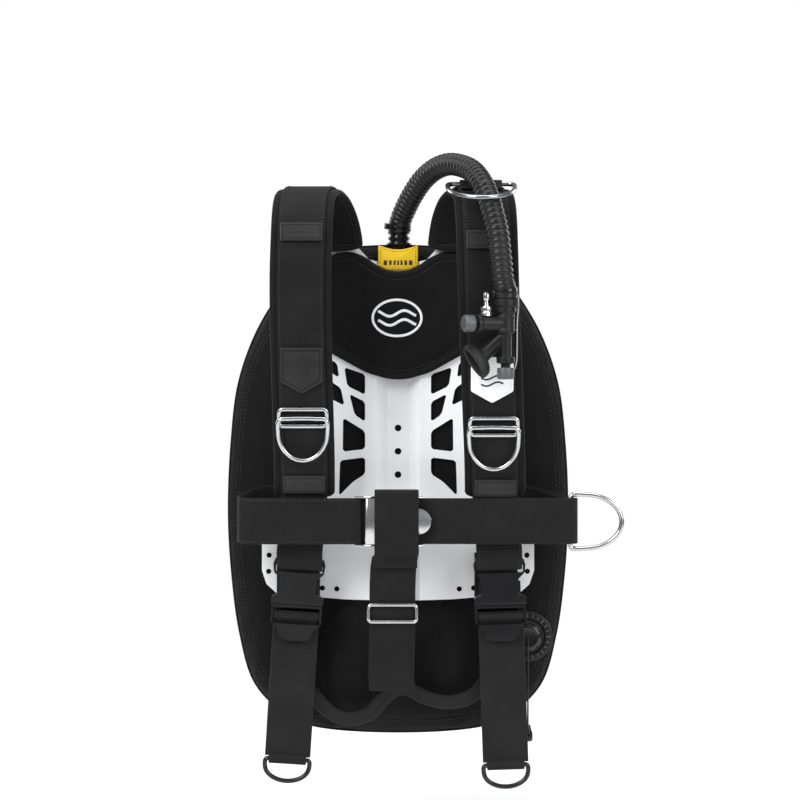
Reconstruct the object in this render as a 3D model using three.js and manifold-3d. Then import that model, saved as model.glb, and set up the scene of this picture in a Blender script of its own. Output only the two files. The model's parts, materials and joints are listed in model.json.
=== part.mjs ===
// Buoyancy compensator of the backplate and wing kind, in millimetres.
// +X is the wearer's left, +Y points at the tank, +Z is up. The origin is on the tank seat's face.
// The backplate carries everything: the wing behind it, the harness in front, the tank bands at the back.
import * as THREE from "three";
import { mergeVertices } from "three/addons/utils/BufferGeometryUtils.js";
import Module from "manifold-3d";

const wasm = await Module();
wasm.setup();

// ---------- driving dimensions ----------
const GAP = 0.3; // between pieces that touch
const WEB = 50; // width of the harness webbing
const WEB_T = 2.5; // thickness of the harness webbing

// Depths, from the tank seat forward
const SEAT_T = 5; // tank seat pad
const PANEL_T = 11.4; // centre panel of the wing
const CHANNEL_D = 13; // depth of the backplate's centre channel
const PLATE_T = 3; // sheet of the backplate
const PANEL_BACK = -SEAT_T - GAP;
const PANEL_FRONT = PANEL_BACK - PANEL_T;
const CHANNEL_BACK = PANEL_FRONT - GAP;
const PLATE_BACK = CHANNEL_BACK - CHANNEL_D;
const PLATE_FRONT = PLATE_BACK - PLATE_T;

// Backplate
const CHANNEL_HALF = 13; // flat bottom of the channel
const CHANNEL_RIM = 25; // where the channel's slopes meet the flanges
const PLATE_HALF = 151;
const PLATE_TOP = 231;
const PLATE_BOTTOM = -166;
const BOLT_R = 3.8;
const BOLT_PITCH = 26;
const EDGE_HOLE_R = 3;

// Wing
const WING_HALF = 189;
const WING_TOP = 228;
const WING_BOTTOM = -302;
const WING_LOBE_T = 44.7;
const WING_EDGE = 12; // rounding of the lobes
const COVER_T = 2.5; // fabric shell round the bladder
const TROUGH_HALF = 70; // the tank lies between the lobes
const WING_FRONT = PLATE_BACK + GAP;
const WING_BACK = WING_FRONT + WING_LOBE_T;

// Tank bands
const TANK_R = 92;
const BAND_T = 2.5;
const BAND_Z = [85, -85];
const BAND_FRONT = -11.25; // where a band crosses inside the centre panel
const SLEEVE_GAP = 0.7;

// Shoulder straps
const PAD_W = 66;
const PAD_T = 8;
const YOKE_T = 7.7;

// Waist
const BELT_Z = -74.5;
const BELT_Y = -95;
const BELT_LAYER = WEB_T + 1; // the left end lies this far in front of the right one

// Air
const HOSE_R = 12.5;
const TUBE_X = 115;
const TUBE_Y = -146;
const BRANCH_Z = 138.6;
const BRANCH_TURN = 0.35; // the inflator's side branch turns away from the strap
const BUTTON_R = 9.2;
const NECK_R = 5.2;
const VALVE = { x: 143.5, z: -205.4, baseR: 28, capR: 15.5 };

// ---------- solids ----------
const V = (x, y, z) => new THREE.Vector3(x, y, z);
const X = V(1, 0, 0);
const Y = V(0, 1, 0);
const Z = V(0, 0, 1);

function solid(geometry) {
  const bare = geometry.index ? geometry.toNonIndexed() : geometry.clone();
  bare.deleteAttribute("normal");
  bare.deleteAttribute("uv");
  const merged = mergeVertices(bare, 1e-3);
  const mesh = new wasm.Mesh({
    numProp: 3,
    vertProperties: merged.attributes.position.array,
    triVerts: new Uint32Array(merged.index.array),
  });
  return new wasm.Manifold(mesh);
}

function geometry(body) {
  const mesh = body.getMesh();
  const made = new THREE.BufferGeometry();
  made.setAttribute("position", new THREE.BufferAttribute(mesh.vertProperties, 3));
  made.setIndex(new THREE.BufferAttribute(mesh.triVerts, 1));
  return made;
}

const points2 = (list) => list.map(([a, b]) => new THREE.Vector2(a, b));
function outline(list) {
  const corners = points2(list);
  return new THREE.Shape(THREE.ShapeUtils.isClockWise(corners) ? corners.reverse() : corners);
}

function smoothOutline(list, steps) {
  const curve = new THREE.CatmullRomCurve3(
    list.map(([a, b]) => V(a, b, 0)),
    true,
  );
  return new THREE.Shape(curve.getSpacedPoints(steps).slice(0, -1).map((p) => new THREE.Vector2(p.x, p.y)));
}

const other = (half) => half.filter(([a]) => a > 0).map(([a, b]) => [-a, b]).reverse();
const mirrored = (half) => [...half, ...other(half)];

function rounded(width, height, radius) {
  const shape = new THREE.Shape();
  const a = width / 2 - radius;
  const b = height / 2 - radius;
  const corners = [
    [a, b, 0],
    [-a, b, 1],
    [-a, -b, 2],
    [a, -b, 3],
  ];
  for (const [x, y, quarter] of corners)
    shape.absarc(x, y, radius, (quarter * Math.PI) / 2, ((quarter + 1) * Math.PI) / 2);
  return shape;
}

function circle(radius, sides = 16) {
  const list = [];
  for (let i = 0; i < sides; i++) {
    const a = (i / sides) * 2 * Math.PI;
    list.push([radius * Math.cos(a), radius * Math.sin(a)]);
  }
  return outline(list);
}

// A shape drawn as seen from the front, (x, z), made solid from its back face forwards
function slab(shape, back, thickness, curveSegments = 4) {
  return new THREE.ExtrudeGeometry(shape, { depth: thickness, bevelEnabled: false, curveSegments })
    .rotateX(Math.PI / 2)
    .translate(0, back, 0);
}

// The same with its edges rounded by bevel, and its outline kept
function cushion(shape, back, thickness, bevel, inset = 0, curveSegments = 3) {
  return new THREE.ExtrudeGeometry(shape, {
    depth: thickness - 2 * bevel,
    bevelThickness: bevel,
    bevelSize: bevel,
    bevelOffset: -bevel - inset,
    bevelSegments: 1,
    curveSegments,
  })
    .rotateX(Math.PI / 2)
    .translate(0, back - bevel, 0);
}

function box(x0, x1, y0, y1, z0, z1) {
  return new THREE.BoxGeometry(x1 - x0, y1 - y0, z1 - z0).translate(
    (x0 + x1) / 2,
    (y0 + y1) / 2,
    (z0 + z1) / 2,
  );
}

const hung = (radius, length, sides = 16) =>
  new THREE.CylinderGeometry(radius, radius, length, sides).rotateX(Math.PI / 2);

// A round piece turned about Z from [radius, height] steps, closed on the axis
function turned(steps, sides = 20) {
  const profile = points2([[0, steps[0][1]], ...steps, [0, steps.at(-1)[1]]]);
  return new THREE.LatheGeometry(profile, sides).rotateX(Math.PI / 2);
}

// A flat band along a smooth route. sides gives the direction of its width, one for all or one a point.
function ribbon(route, sides, width, thickness, steps, closed = false) {
  const curve = new THREE.CatmullRomCurve3(route, closed, "centripetal");
  const across = Array.isArray(sides) ? sides : route.map(() => sides);
  const rings = closed ? steps : steps + 1;
  const spans = closed ? route.length : route.length - 1;
  const positions = [];
  for (let i = 0; i < rings; i++) {
    const t = i / steps;
    const at = curve.getPoint(t);
    const along = curve.getTangent(t);
    const k = Math.min(Math.floor(t * spans), spans - 1);
    const next = across[(k + 1) % across.length];
    const side = across[k].clone().lerp(next, t * spans - k).normalize();
    const normal = along.clone().cross(side).normalize();
    for (const [s, n] of [[1, 1], [-1, 1], [-1, -1], [1, -1]]) {
      const corner = at.clone();
      corner.addScaledVector(side, (s * width) / 2).addScaledVector(normal, (n * thickness) / 2);
      positions.push(corner.x, corner.y, corner.z);
    }
  }
  const index = [];
  for (let i = 0; i < steps; i++) {
    const a = 4 * i;
    const b = 4 * ((i + 1) % rings);
    for (let k = 0; k < 4; k++) {
      const m = (k + 1) % 4;
      index.push(a + k, a + m, b + m, a + k, b + m, b + k);
    }
  }
  if (!closed) {
    const e = 4 * steps;
    index.push(0, 2, 1, 0, 3, 2, e, e + 1, e + 2, e, e + 2, e + 3);
  }
  const made = new THREE.BufferGeometry();
  made.setAttribute("position", new THREE.BufferAttribute(new Float32Array(positions), 3));
  made.setIndex(index);
  return made;
}

function tube(route, radius, steps, sides) {
  return new THREE.ExtrudeGeometry(circle(radius, sides), {
    steps,
    extrudePath: new THREE.CatmullRomCurve3(route, false, "centripetal"),
  });
}

// A closed wire ring through the given points
function wire(route, radius, steps = 26, sides = 6) {
  return new THREE.TubeGeometry(new THREE.CatmullRomCurve3(route, true, "centripetal"), steps, radius, sides, true);
}

// A D ring hanging from the middle of its straight bar
function dRing(width, height, radius) {
  const w = width / 2 - radius;
  const h = height - 2 * radius;
  const shoulder = h * 0.3;
  const route = [V(-w * 0.5, 0, 0), V(w * 0.5, 0, 0), V(w * 0.96, 0, -shoulder * 0.12)];
  for (let i = 0; i <= 8; i++) {
    const a = (i / 8) * Math.PI;
    route.push(V(w * Math.cos(a), 0, -shoulder - (h - shoulder) * Math.sin(a)));
  }
  route.push(V(-w * 0.96, 0, -shoulder * 0.12));
  return wire(route, radius);
}

// ---------- the tree ----------
const vest = new THREE.Group();
const finish = {
  plate: new THREE.MeshStandardMaterial({ color: 0xe4e6ea, roughness: 0.45, metalness: 0.1 }),
  cloth: new THREE.MeshStandardMaterial({ color: 0x1b1a19, roughness: 0.95, metalness: 0 }),
  bladder: new THREE.MeshStandardMaterial({ color: 0x2c2c30, roughness: 0.6, metalness: 0 }),
  padding: new THREE.MeshStandardMaterial({ color: 0x242322, roughness: 0.95, metalness: 0 }),
  webbing: new THREE.MeshStandardMaterial({ color: 0x201f1e, roughness: 0.8, metalness: 0 }),
  steel: new THREE.MeshStandardMaterial({ color: 0xc9cacc, roughness: 0.22, metalness: 1 }),
  plastic: new THREE.MeshStandardMaterial({ color: 0x17181a, roughness: 0.35, metalness: 0 }),
  rubber: new THREE.MeshStandardMaterial({ color: 0x2b2c2e, roughness: 0.6, metalness: 0 }),
  badge: new THREE.MeshStandardMaterial({ color: 0xe9ebef, roughness: 0.55, metalness: 0 }),
  button: new THREE.MeshStandardMaterial({ color: 0x6d7175, roughness: 0.5, metalness: 0 }),
  yellow: new THREE.MeshStandardMaterial({ color: 0xf2b010, roughness: 0.85, metalness: 0 }),
};

function put(name, shape, material, parent = vest) {
  const made = shape.isBufferGeometry ? shape : geometry(shape);
  const mesh = new THREE.Mesh(made, finish[material]);
  mesh.name = name;
  parent.add(mesh);
  return mesh;
}

// ---------- backplate ----------
function plateOutline() {
  return mirrored([
    [0, 205],
    [32, 213],
    [42, 224],
    [52, PLATE_TOP - 1],
    [64, PLATE_TOP],
    [96, PLATE_TOP],
    [108, PLATE_TOP - 7],
    [112, 206],
    [112, 150],
    [107, 95],
    [101, 40],
    [100, 0],
    [106, -26],
    [128, -52],
    [PLATE_HALF - 4, -74],
    [PLATE_HALF, -92],
    [PLATE_HALF, -132],
    [PLATE_HALF - 5, -147],
    [PLATE_HALF - 16, -157],
    [PLATE_HALF - 32, PLATE_BOTTOM + 7],
    [60, PLATE_BOTTOM + 2],
    [0, PLATE_BOTTOM],
  ]);
}

// Windows on one side of the channel, as [x, z] corners
const WINDOWS = [
  [[59.7, 93.7], [36.6, 85.6], [36.6, 63], [56.3, 72.8]],
  [[54, 64], [36.6, 55], [36.6, 33], [48.2, 41]],
  [[61, 37.5], [36.6, 22.4], [36.6, 2.8], [61.4, -0.2]],
  [[64.4, -9.9], [36.6, -6.5], [36.6, -25], [50, -33.5], [65.6, -49.3]],
  [[63.5, 70.5], [59.5, 51], [90, 66], [90, 88]],
  [[67.5, 98], [65.5, 82], [90, 97], [90, 110]],
];
const EDGE_HOLES = [[141.5, -98], [143, -115], [143.5, -133], [84, -151.5], [68, -152.5]];

// The corners of an outline cut off by a short chamfer, as a milled window has
function eased(list, size) {
  const made = [];
  list.forEach((corner, i) => {
    const before = list[(i + list.length - 1) % list.length];
    const after = list[(i + 1) % list.length];
    for (const other of [before, after]) {
      const far = Math.hypot(other[0] - corner[0], other[1] - corner[1]);
      const share = Math.min(size, far / 3) / far;
      made.push([corner[0] + (other[0] - corner[0]) * share, corner[1] + (other[1] - corner[1]) * share]);
    }
  });
  return made;
}

function backplate() {
  const bend = [
    [PLATE_HALF + 5, PLATE_BACK],
    [CHANNEL_RIM, PLATE_BACK],
    [CHANNEL_HALF, CHANNEL_BACK],
  ];
  const front = [
    [CHANNEL_HALF - 1, CHANNEL_BACK - PLATE_T],
    [CHANNEL_RIM - 1, PLATE_FRONT],
    [PLATE_HALF + 5, PLATE_FRONT],
  ];
  const right = [...bend, ...front.map((p) => p)];
  const section = outline([
    ...right.slice(0, 3),
    ...right.slice(0, 3).map(([x, y]) => [-x, y]).reverse(),
    ...right.slice(3).map(([x, y]) => [-x, y]).reverse(),
    ...right.slice(3),
  ]);
  const height = PLATE_TOP - PLATE_BOTTOM + 20;
  const sheet = new THREE.ExtrudeGeometry(section, { depth: height, bevelEnabled: false });
  let plate = solid(sheet.translate(0, 0, PLATE_BOTTOM - 10));
  const face = outline(plateOutline());
  const hole = (x, z, radius) => {
    const list = circle(radius, 12).getPoints();
    face.holes.push(new THREE.Path(list.map((p) => new THREE.Vector2(p.x + x, p.y + z))));
  };
  for (const side of [1, -1]) {
    for (const window of WINDOWS)
      face.holes.push(new THREE.Path(points2(eased(window, 2.5).map(([x, z]) => [side * x, z]))));
    for (const [x, z] of EDGE_HOLES) hole(side * x, z, EDGE_HOLE_R);
  }
  for (const step of [-1, 0, 1]) hole(0, step * BOLT_PITCH, BOLT_R);
  plate = plate.intersect(solid(slab(face, 0, 60)));
  return plate;
}

put("backplate", backplate(), "plate");

// ---------- wing ----------
const WING_OUTLINE = mirrored([
  [30, WING_TOP],
  [72, 224],
  [108, 205],
  [136, 170],
  [160, 128],
  [178, 75],
  [WING_HALF - 3, 10],
  [WING_HALF, -70],
  [WING_HALF - 4, -140],
  [WING_HALF - 13, -205],
  [160, -258],
  [132, -288],
  [92, WING_BOTTOM],
]);
const BULGES = [
  { x: -46, z: -228, rx: 46, rz: 60 },
  { x: 52, z: -226, rx: 44, rz: 57 },
];
const BULGE_DEPTH = 17;

// The wing's outer shape, drawn in by inset all round
function wingBody(inset) {
  const shape = smoothOutline(WING_OUTLINE, 52);
  const thickness = WING_LOBE_T - 2 * inset;
  let body = solid(cushion(shape, WING_BACK - inset, thickness, WING_EDGE, inset));
  const trough = box(-TROUGH_HALF - inset, TROUGH_HALF + inset, PANEL_BACK - inset, 60, -400, 190 + inset);
  const pocket = box(-CHANNEL_RIM - 2, CHANNEL_RIM + 2, -60, PANEL_FRONT, PLATE_BOTTOM - 6, 216);
  body = body.subtract(solid(trough)).subtract(solid(pocket));
  for (const { x, z, rx, rz } of BULGES) {
    const ball = new THREE.SphereGeometry(1, 14, 10);
    ball.scale(rx - inset, BULGE_DEPTH - inset, rz - inset).translate(x, WING_FRONT, z);
    const front = solid(ball).intersect(solid(box(-100, 100, -80, WING_FRONT + 3, -400, 0)));
    body = body.add(front);
  }
  return body;
}

// The bladder is a ring round the centre panel
function wingRing(inset) {
  const panel = box(-TROUGH_HALF - 6, TROUGH_HALF + 6, -60, 60, -150, 190 + inset);
  return wingBody(inset).subtract(solid(panel));
}

const bandRoute = (z) => {
  const list = [V(0, BAND_FRONT, z), V(34, BAND_FRONT, z), V(50, BAND_FRONT + 1.5, z), V(59, 2, z)];
  const radius = TANK_R + BAND_T / 2 + 0.4;
  for (let degrees = -40; degrees <= 90; degrees += 13) {
    const a = THREE.MathUtils.degToRad(degrees);
    list.push(V(radius * Math.cos(a), TANK_R + radius * Math.sin(a), z));
  }
  return [...list, ...list.slice(1, -1).map((p) => V(-p.x, p.y, p.z)).reverse()];
};
const band = (z, width, thickness) => ribbon(bandRoute(z), Z, width, thickness, 54, true);

const ELBOW = { x: 1, y: (WING_FRONT + WING_BACK) / 2, r: 9.7 };
const portTop = solid(hung(ELBOW.r + GAP, 40).translate(ELBOW.x, ELBOW.y, WING_TOP + 4));
const portDump = solid(
  new THREE.CylinderGeometry(8, 8, 24, 16).translate(VALVE.x, WING_FRONT, VALVE.z),
);

let cover = wingBody(0).subtract(wingRing(COVER_T));
let bladder = wingRing(COVER_T + GAP);
for (const z of BAND_Z)
  cover = cover.subtract(solid(band(z, WEB + 2 * SLEEVE_GAP, BAND_T + 2 * SLEEVE_GAP)));
for (const port of [portTop, portDump]) {
  cover = cover.subtract(port);
  bladder = bladder.subtract(port);
}
const largest = (body) => body.decompose().sort((a, b) => b.volume() - a.volume())[0];
put("wing_cover", largest(cover), "cloth");
put("wing_bladder", largest(bladder), "bladder");

put("tank_seat_pad", cushion(rounded(60, 110, 8), 0, SEAT_T - 0.001, 1), "rubber");

// ---------- lever buckles ----------
// A steel frame on a band, its lever hinged at one end. Drawn with its back on y = 0, facing +Y,
// the hinge towards -X. The waist buckle and both tank bands use it.
const BUCKLE = { ear: 1.5, base: 1.5, rise: 14, pin: 1.4, barrel: 3, height: WEB + 4 };

function buckleFrame(from, to, hinge, rise) {
  const half = BUCKLE.height / 2;
  const base = solid(box(from, to, 0, BUCKLE.base, -half, half));
  const ears = [-1, 1].map((s) => {
    const ear = outline([
      [from, 0],
      [to, 0],
      [to, rise * 0.35],
      [hinge + 8, rise * 0.6],
      [hinge + 4, rise],
      [hinge - 4, rise],
      [from, rise * 0.5],
    ]);
    const sheet = new THREE.ExtrudeGeometry(ear, { depth: BUCKLE.ear, bevelEnabled: false });
    return solid(sheet.translate(0, 0, s > 0 ? half - BUCKLE.ear : -half));
  });
  const pin = solid(hung(BUCKLE.pin, BUCKLE.height - 1, 12).translate(hinge, rise - 4, 0));
  return base.add(ears[0]).add(ears[1]).add(pin);
}

function buckleLever(hinge, to, rise, tongue) {
  const half = BUCKLE.height / 2 - BUCKLE.ear - 0.8;
  const axis = rise - 4;
  const shape = new THREE.Shape();
  shape.moveTo(hinge, -half);
  shape.lineTo(to, -half);
  shape.lineTo(to, -tongue);
  shape.absarc(to, 0, tongue, -Math.PI / 2, Math.PI / 2);
  shape.lineTo(to, half);
  shape.lineTo(hinge, half);
  const plate = slab(shape, axis + BUCKLE.barrel, 1.8, 8);
  const barrel = solid(hung(BUCKLE.barrel, 2 * half, 12).translate(hinge, axis, 0));
  const bore = solid(hung(BUCKLE.pin + GAP, 2 * half + 2, 12).translate(hinge, axis, 0));
  return barrel.add(solid(plate)).subtract(bore);
}

const CAM = { from: -32, to: 30, hinge: -24, lever: 16, rise: 16, tongue: 14 };
BAND_Z.forEach((z, i) => {
  const which = ["upper", "lower"][i];
  put(`tank_band_${which}`, band(z, WEB, BAND_T), "webbing");
  const holder = new THREE.Group();
  holder.position.set(0, 2 * TANK_R + BAND_T + 0.4 + GAP + 0.2, z);
  put(`cam_buckle_frame_${which}`, buckleFrame(CAM.from, CAM.to, CAM.hinge, CAM.rise), "steel", holder);
  put(`cam_buckle_lever_${which}`, buckleLever(CAM.hinge, CAM.lever, CAM.rise, CAM.tongue), "steel", holder);
  vest.add(holder);
});

// ---------- yoke ----------
const YOKE_HALF = [
  [0, 198],
  [16, 200],
  [27, 206],
  [39, 215],
  [52, 221],
  [66, 221],
  [88, 212],
  [92, 196],
  [90, 132],
  [78, 112],
  [60, 102],
  [35, 88],
  [12, 81],
];
const yokeShape = outline(mirrored([...YOKE_HALF, [0, 80]]));
put("yoke_pad", cushion(yokeShape, PLATE_FRONT - GAP, YOKE_T, 2), "cloth");

const FLAP_T = 2.6;
const flapTop = (x) => 229 - 5 * Math.cos((x / 22) * (Math.PI / 2));
const flapShape = outline([
  [-22, 206],
  [-12, 201.5],
  [12, 201.5],
  [22, 206],
  ...[22, 16, 10, 4, -4, -10, -16, -22].map((x) => [x, flapTop(x)]),
]);
put("elbow_flap", slab(flapShape, PLATE_FRONT - GAP, FLAP_T), "yellow");

// ---------- shoulder straps ----------
// The centre line of a shoulder pad: x of the wearer's right strap, x of the left one, then y and z
const SHOULDER = [
  [-72, 66, -42.5, 225],
  [-73, 67, -42.5, 238],
  [-78, 71, -46, 260],
  [-86, 78, -59, 277],
  [-95, 87, -78, 284],
  [-101, 93, -101, 277],
  [-103, 95, -117, 258],
  [-104, 96, -124, 230],
  [-105, 97, -125, 195],
  [-105, 98.5, -121, 145],
  [-104, 101, -114, 95],
  [-103, 103, -105, 45],
  [-102, 105, -95, 0],
  [-102, 106, -86, -35],
  [-102, 106, -83, -47],
];
const SIDES = [
  { name: "right", column: 0, lean: 3.6, buckle: -107.5, anchorShift: -3 },
  { name: "left", column: 1, lean: -1.9, buckle: 110.7, anchorShift: -2 },
];
const padRoute = ({ column }) => SHOULDER.map((p) => V(p[column], p[2], p[3]));
const padCurve = (side) => new THREE.CatmullRomCurve3(padRoute(side), false, "centripetal");
const FACE = PAD_T / 2 + GAP + WEB_T; // from the pad's centre line to the webbing's front

// The place on the strap's front face at a height, the slope there, and the outward direction
function strapAt(side, z) {
  const curve = padCurve(side);
  let low = 0.3;
  let high = 1;
  for (let i = 0; i < 40; i++) {
    const middle = (low + high) / 2;
    if (curve.getPoint(middle).z > z) low = middle;
    else high = middle;
  }
  return faceAt(curve, low);
}

function faceAt(curve, t, height = FACE) {
  const at = curve.getPoint(t);
  const down = curve.getTangent(t);
  const out = down.clone().cross(X).normalize();
  return { at: at.addScaledVector(out, height), slope: Math.atan2(down.y, -down.z) };
}

// A frame on the strap's face: +Z up the strap, -Y away from it
function onStrap(side, z) {
  const { at, slope } = strapAt(side, z);
  const holder = new THREE.Group();
  holder.position.copy(at);
  holder.rotation.x = slope;
  holder.slope = slope;
  vest.add(holder);
  return holder;
}

const STRAP_STEPS = 28;
const BUCKLE_TOP = V(0, -70, -117); // middle of the top bar of a side-release socket

for (const side of SIDES) {
  put(`shoulder_pad_${side.name}`, ribbon(padRoute(side), X, PAD_W, PAD_T, STRAP_STEPS), "padding");
  const curve = padCurve(side);
  const route = [];
  for (let i = 0; i <= STRAP_STEPS; i++)
    route.push(faceAt(curve, i / STRAP_STEPS, PAD_T / 2 + GAP + WEB_T / 2).at);
  const across = route.map(() => X);
  const end = route.at(-1);
  const bx = side.buckle;
  const lean = X.clone().applyAxisAngle(Y, THREE.MathUtils.degToRad(side.lean));
  const drift = (share) => end.x + (bx - end.x) * share;
  route.push(
    V(drift(0.3), -85.5, -66),
    V(drift(0.7), -82.5, -92),
    V(bx, -81, -110),
    V(bx, -80.6, -120),
    V(bx, -78.4, -126),
    V(bx, -72, -128.4),
  );
  across.push(X, X, lean, lean, lean, lean);
  put(`shoulder_webbing_${side.name}`, ribbon(route, across, WEB, WEB_T, route.length - 1), "webbing");
}

// Rubber keepers and badges on the straps
const PATCH = { w: 46, h: 20, t: 2 };
const BADGE = outline([[23, 25], [-23, 25], [-23, -12], [0, -25], [23, -12]]);
const STRAP_FITTINGS = {
  right: { upper: 236.5, badge: 90, lower: -32.5, keeper: 39.5, badgeFinish: "rubber" },
  left: { upper: 228.5, badge: 80, lower: -37, keeper: 30, badgeFinish: "badge" },
};
for (const side of SIDES) {
  const place = STRAP_FITTINGS[side.name];
  for (const [which, gap] of [["upper", 1.4], ["lower", 0.8]])
    put(`${which}_patch_${side.name}`, cushion(rounded(PATCH.w, PATCH.h, 1.5), -gap, PATCH.t, 0.5), "rubber",
      onStrap(side, place[which]));
  put(`badge_${side.name}`, slab(BADGE, -0.8, PATCH.t), place.badgeFinish, onStrap(side, place.badge));
}

// ---------- chest D rings ----------
const KEEPER = { w: 56, h: 23, bar: 4.5, t: 3 };
const CHEST_RING = { w: 58, h: 51, r: 2.4 };
function keeperFrame() {
  const shape = rounded(KEEPER.w, KEEPER.h, 5);
  shape.holes.push(rounded(KEEPER.w - 2 * KEEPER.bar, KEEPER.h - 2 * KEEPER.bar, 2));
  return slab(shape, -0.8, KEEPER.t, 3);
}
for (const side of SIDES) {
  const holder = onStrap(side, STRAP_FITTINGS[side.name].keeper);
  put(`chest_keeper_${side.name}`, keeperFrame(), "steel", holder);
  const ring = put(`chest_ring_${side.name}`, dRing(CHEST_RING.w, CHEST_RING.h, CHEST_RING.r), "steel", holder);
  ring.position.set(0, -0.8 - KEEPER.t - 0.5 - CHEST_RING.r, 0);
}

// ---------- shoulder ring, which holds the inflator hose ----------
const SHOULDER_RING = { w: 77, h: 70, r: 2.5, tilt: 17 };
{
  const holder = onStrap(SIDES[1], 282.5);
  const lift = SHOULDER_RING.r + 0.8;
  const over = [
    V(0, -1.6, 15),
    V(0, -1.9, 8),
    V(0, -lift - SHOULDER_RING.r - 1.4, 0),
    V(0, -1.9, -8),
    V(0, -1.6, -14),
  ];
  put("shoulder_ring_keeper", ribbon(over, X, WEB - 4, 1.6, 16), "webbing", holder);
  const ring = put("shoulder_ring", dRing(SHOULDER_RING.w, SHOULDER_RING.h, SHOULDER_RING.r), "steel", holder);
  ring.position.set(0, -lift, 0);
  ring.rotation.x = -holder.slope - THREE.MathUtils.degToRad(90 - SHOULDER_RING.tilt);
}

// ---------- waist belt ----------
// Each half leaves the backplate's slot, turns forward at the hip and comes to the buckle.
const BELT_REAR_Z = BELT_Z + 15;
const BELT_PLATE_Y = PLATE_FRONT - 2 * GAP - WEB_T / 2 - 1;
const RIGHT_BELT_Y = BELT_Y - BELT_LAYER;
const rightBelt = [
  V(-100, BELT_PLATE_Y, BELT_REAR_Z),
  V(-122, BELT_PLATE_Y, BELT_REAR_Z),
  V(-143, -43, BELT_REAR_Z - 3),
  V(-161, -57, BELT_REAR_Z - 7),
  V(-172, -74, BELT_REAR_Z - 11),
  V(-173, -89, BELT_REAR_Z - 14),
  V(-163, -97.5, BELT_Z),
  V(-148, RIGHT_BELT_Y, BELT_Z),
  V(-90, RIGHT_BELT_Y, BELT_Z),
  V(-40, RIGHT_BELT_Y, BELT_Z),
];
const leftBelt = [
  V(100, BELT_PLATE_Y, BELT_REAR_Z + 3),
  V(122, BELT_PLATE_Y, BELT_REAR_Z + 3),
  V(148, -42, BELT_REAR_Z - 4),
  V(172, -54, BELT_REAR_Z - 11),
  V(189, -68, BELT_Z),
  V(195, -82, BELT_Z),
  V(187, -93, BELT_Z),
  V(172, BELT_Y, BELT_Z),
  V(90, BELT_Y, BELT_Z),
  V(0, BELT_Y, BELT_Z),
  V(-72, BELT_Y, BELT_Z),
];
put("waist_belt_right", ribbon(rightBelt, Z, WEB, WEB_T, 26), "webbing");
put("waist_belt_left", ribbon(leftBelt, Z, WEB, WEB_T, 28), "webbing");

const WAIST = { from: -14, to: 60, hinge: 0, lever: 55, rise: 14, tongue: 14, x: -33 };
const WAIST_BACK = BELT_Y + WEB_T / 2 + GAP + BUCKLE.base;
{
  const holder = new THREE.Group();
  holder.position.set(WAIST.x, WAIST_BACK, BELT_Z);
  holder.rotation.x = Math.PI;
  put("waist_buckle_frame", buckleFrame(WAIST.from, WAIST.to, WAIST.hinge, WAIST.rise), "steel", holder);
  put("waist_buckle_lever", buckleLever(WAIST.hinge, WAIST.lever, WAIST.rise, WAIST.tongue), "steel", holder);
  vest.add(holder);
}

const HIP_RING = { w: 64, h: 62, r: 2.6 };
{
  const ring = put("hip_ring", dRing(HIP_RING.w, HIP_RING.h, HIP_RING.r), "steel");
  ring.position.set(187.5, -83, BELT_Z - 1);
  ring.rotation.y = -Math.PI / 2;
}

// ---------- crotch strap ----------
const LOOP_FRONT = WAIST_BACK - WAIST.rise - 6;
const LOOP_BACK = WAIST_BACK + 2 * GAP + WEB_T / 2;
const LOOP_MIDDLE = (LOOP_FRONT + LOOP_BACK) / 2;
const LOOP_TOP = BELT_Z + 33;
const LOOP_FOOT = BELT_Z - 33.5;
const LOOP_TURN = 4;
const LOOP_X = -1.5;
const loopCorner = (y, z, inY, inZ) => [
  V(0, y, z + inZ * LOOP_TURN),
  V(0, y + inY * LOOP_TURN * 0.3, z + inZ * LOOP_TURN * 0.3),
  V(0, y + inY * LOOP_TURN, z),
];
const loopRoute = [
  ...loopCorner(LOOP_FRONT, LOOP_FOOT, 1, 1),
  ...loopCorner(LOOP_BACK, LOOP_FOOT, -1, 1).reverse(),
  ...loopCorner(LOOP_BACK, LOOP_TOP, -1, -1),
  ...loopCorner(LOOP_FRONT, LOOP_TOP, 1, -1).reverse(),
].map((p) => p.setX(LOOP_X));
put("crotch_loop", ribbon(loopRoute, X, WEB - 2, WEB_T, 36, true), "webbing");

const crotchRoute = [
  V(-3, LOOP_MIDDLE, LOOP_FOOT - 4),
  V(-5, LOOP_MIDDLE + 2, -125),
  V(-6, -93, -150),
  V(-6, -91, -175),
  V(-6.5, -87, -205),
  V(-7, -80, -235),
  V(-7, -72, -254),
  V(-6, -67.5, -262),
];
put("crotch_strap", ribbon(crotchRoute, X, WEB, WEB_T, 20), "webbing");

// The two legs of the crotch strap hang in shallow arcs from its foot to the side straps
const LEG_W = 22;
const LEG_Y = -53.5;
const legRoute = [
  [-113, -193],
  [-112, -219],
  [-106, -243],
  [-95, -265],
  [-76, -286],
  [-55, -294.5],
  [-32, -289],
  [-16, -272],
  [-2, -262],
  [10, -261],
  [30, -271],
  [55, -276],
  [78, -271],
  [94, -257],
  [106, -236],
  [112, -219],
  [112, -193],
].map(([x, z]) => V(x, LEG_Y, z));
put("crotch_leg_straps", ribbon(legRoute, Y, LEG_W, WEB_T, 34), "webbing");

const SLIDER = { w: 56, h: 22, bar: 3.6, t: 3, z: -175 };
{
  const shape = rounded(SLIDER.w, SLIDER.h, 4);
  shape.holes.push(rounded(SLIDER.w - 2 * SLIDER.bar, SLIDER.h - 2 * SLIDER.bar, 1.5));
  const frame = slab(shape, 0, SLIDER.t, 3);
  put("crotch_slider", frame.translate(-6, -91 - WEB_T / 2 - 1.2, SLIDER.z), "steel");
}

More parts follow.
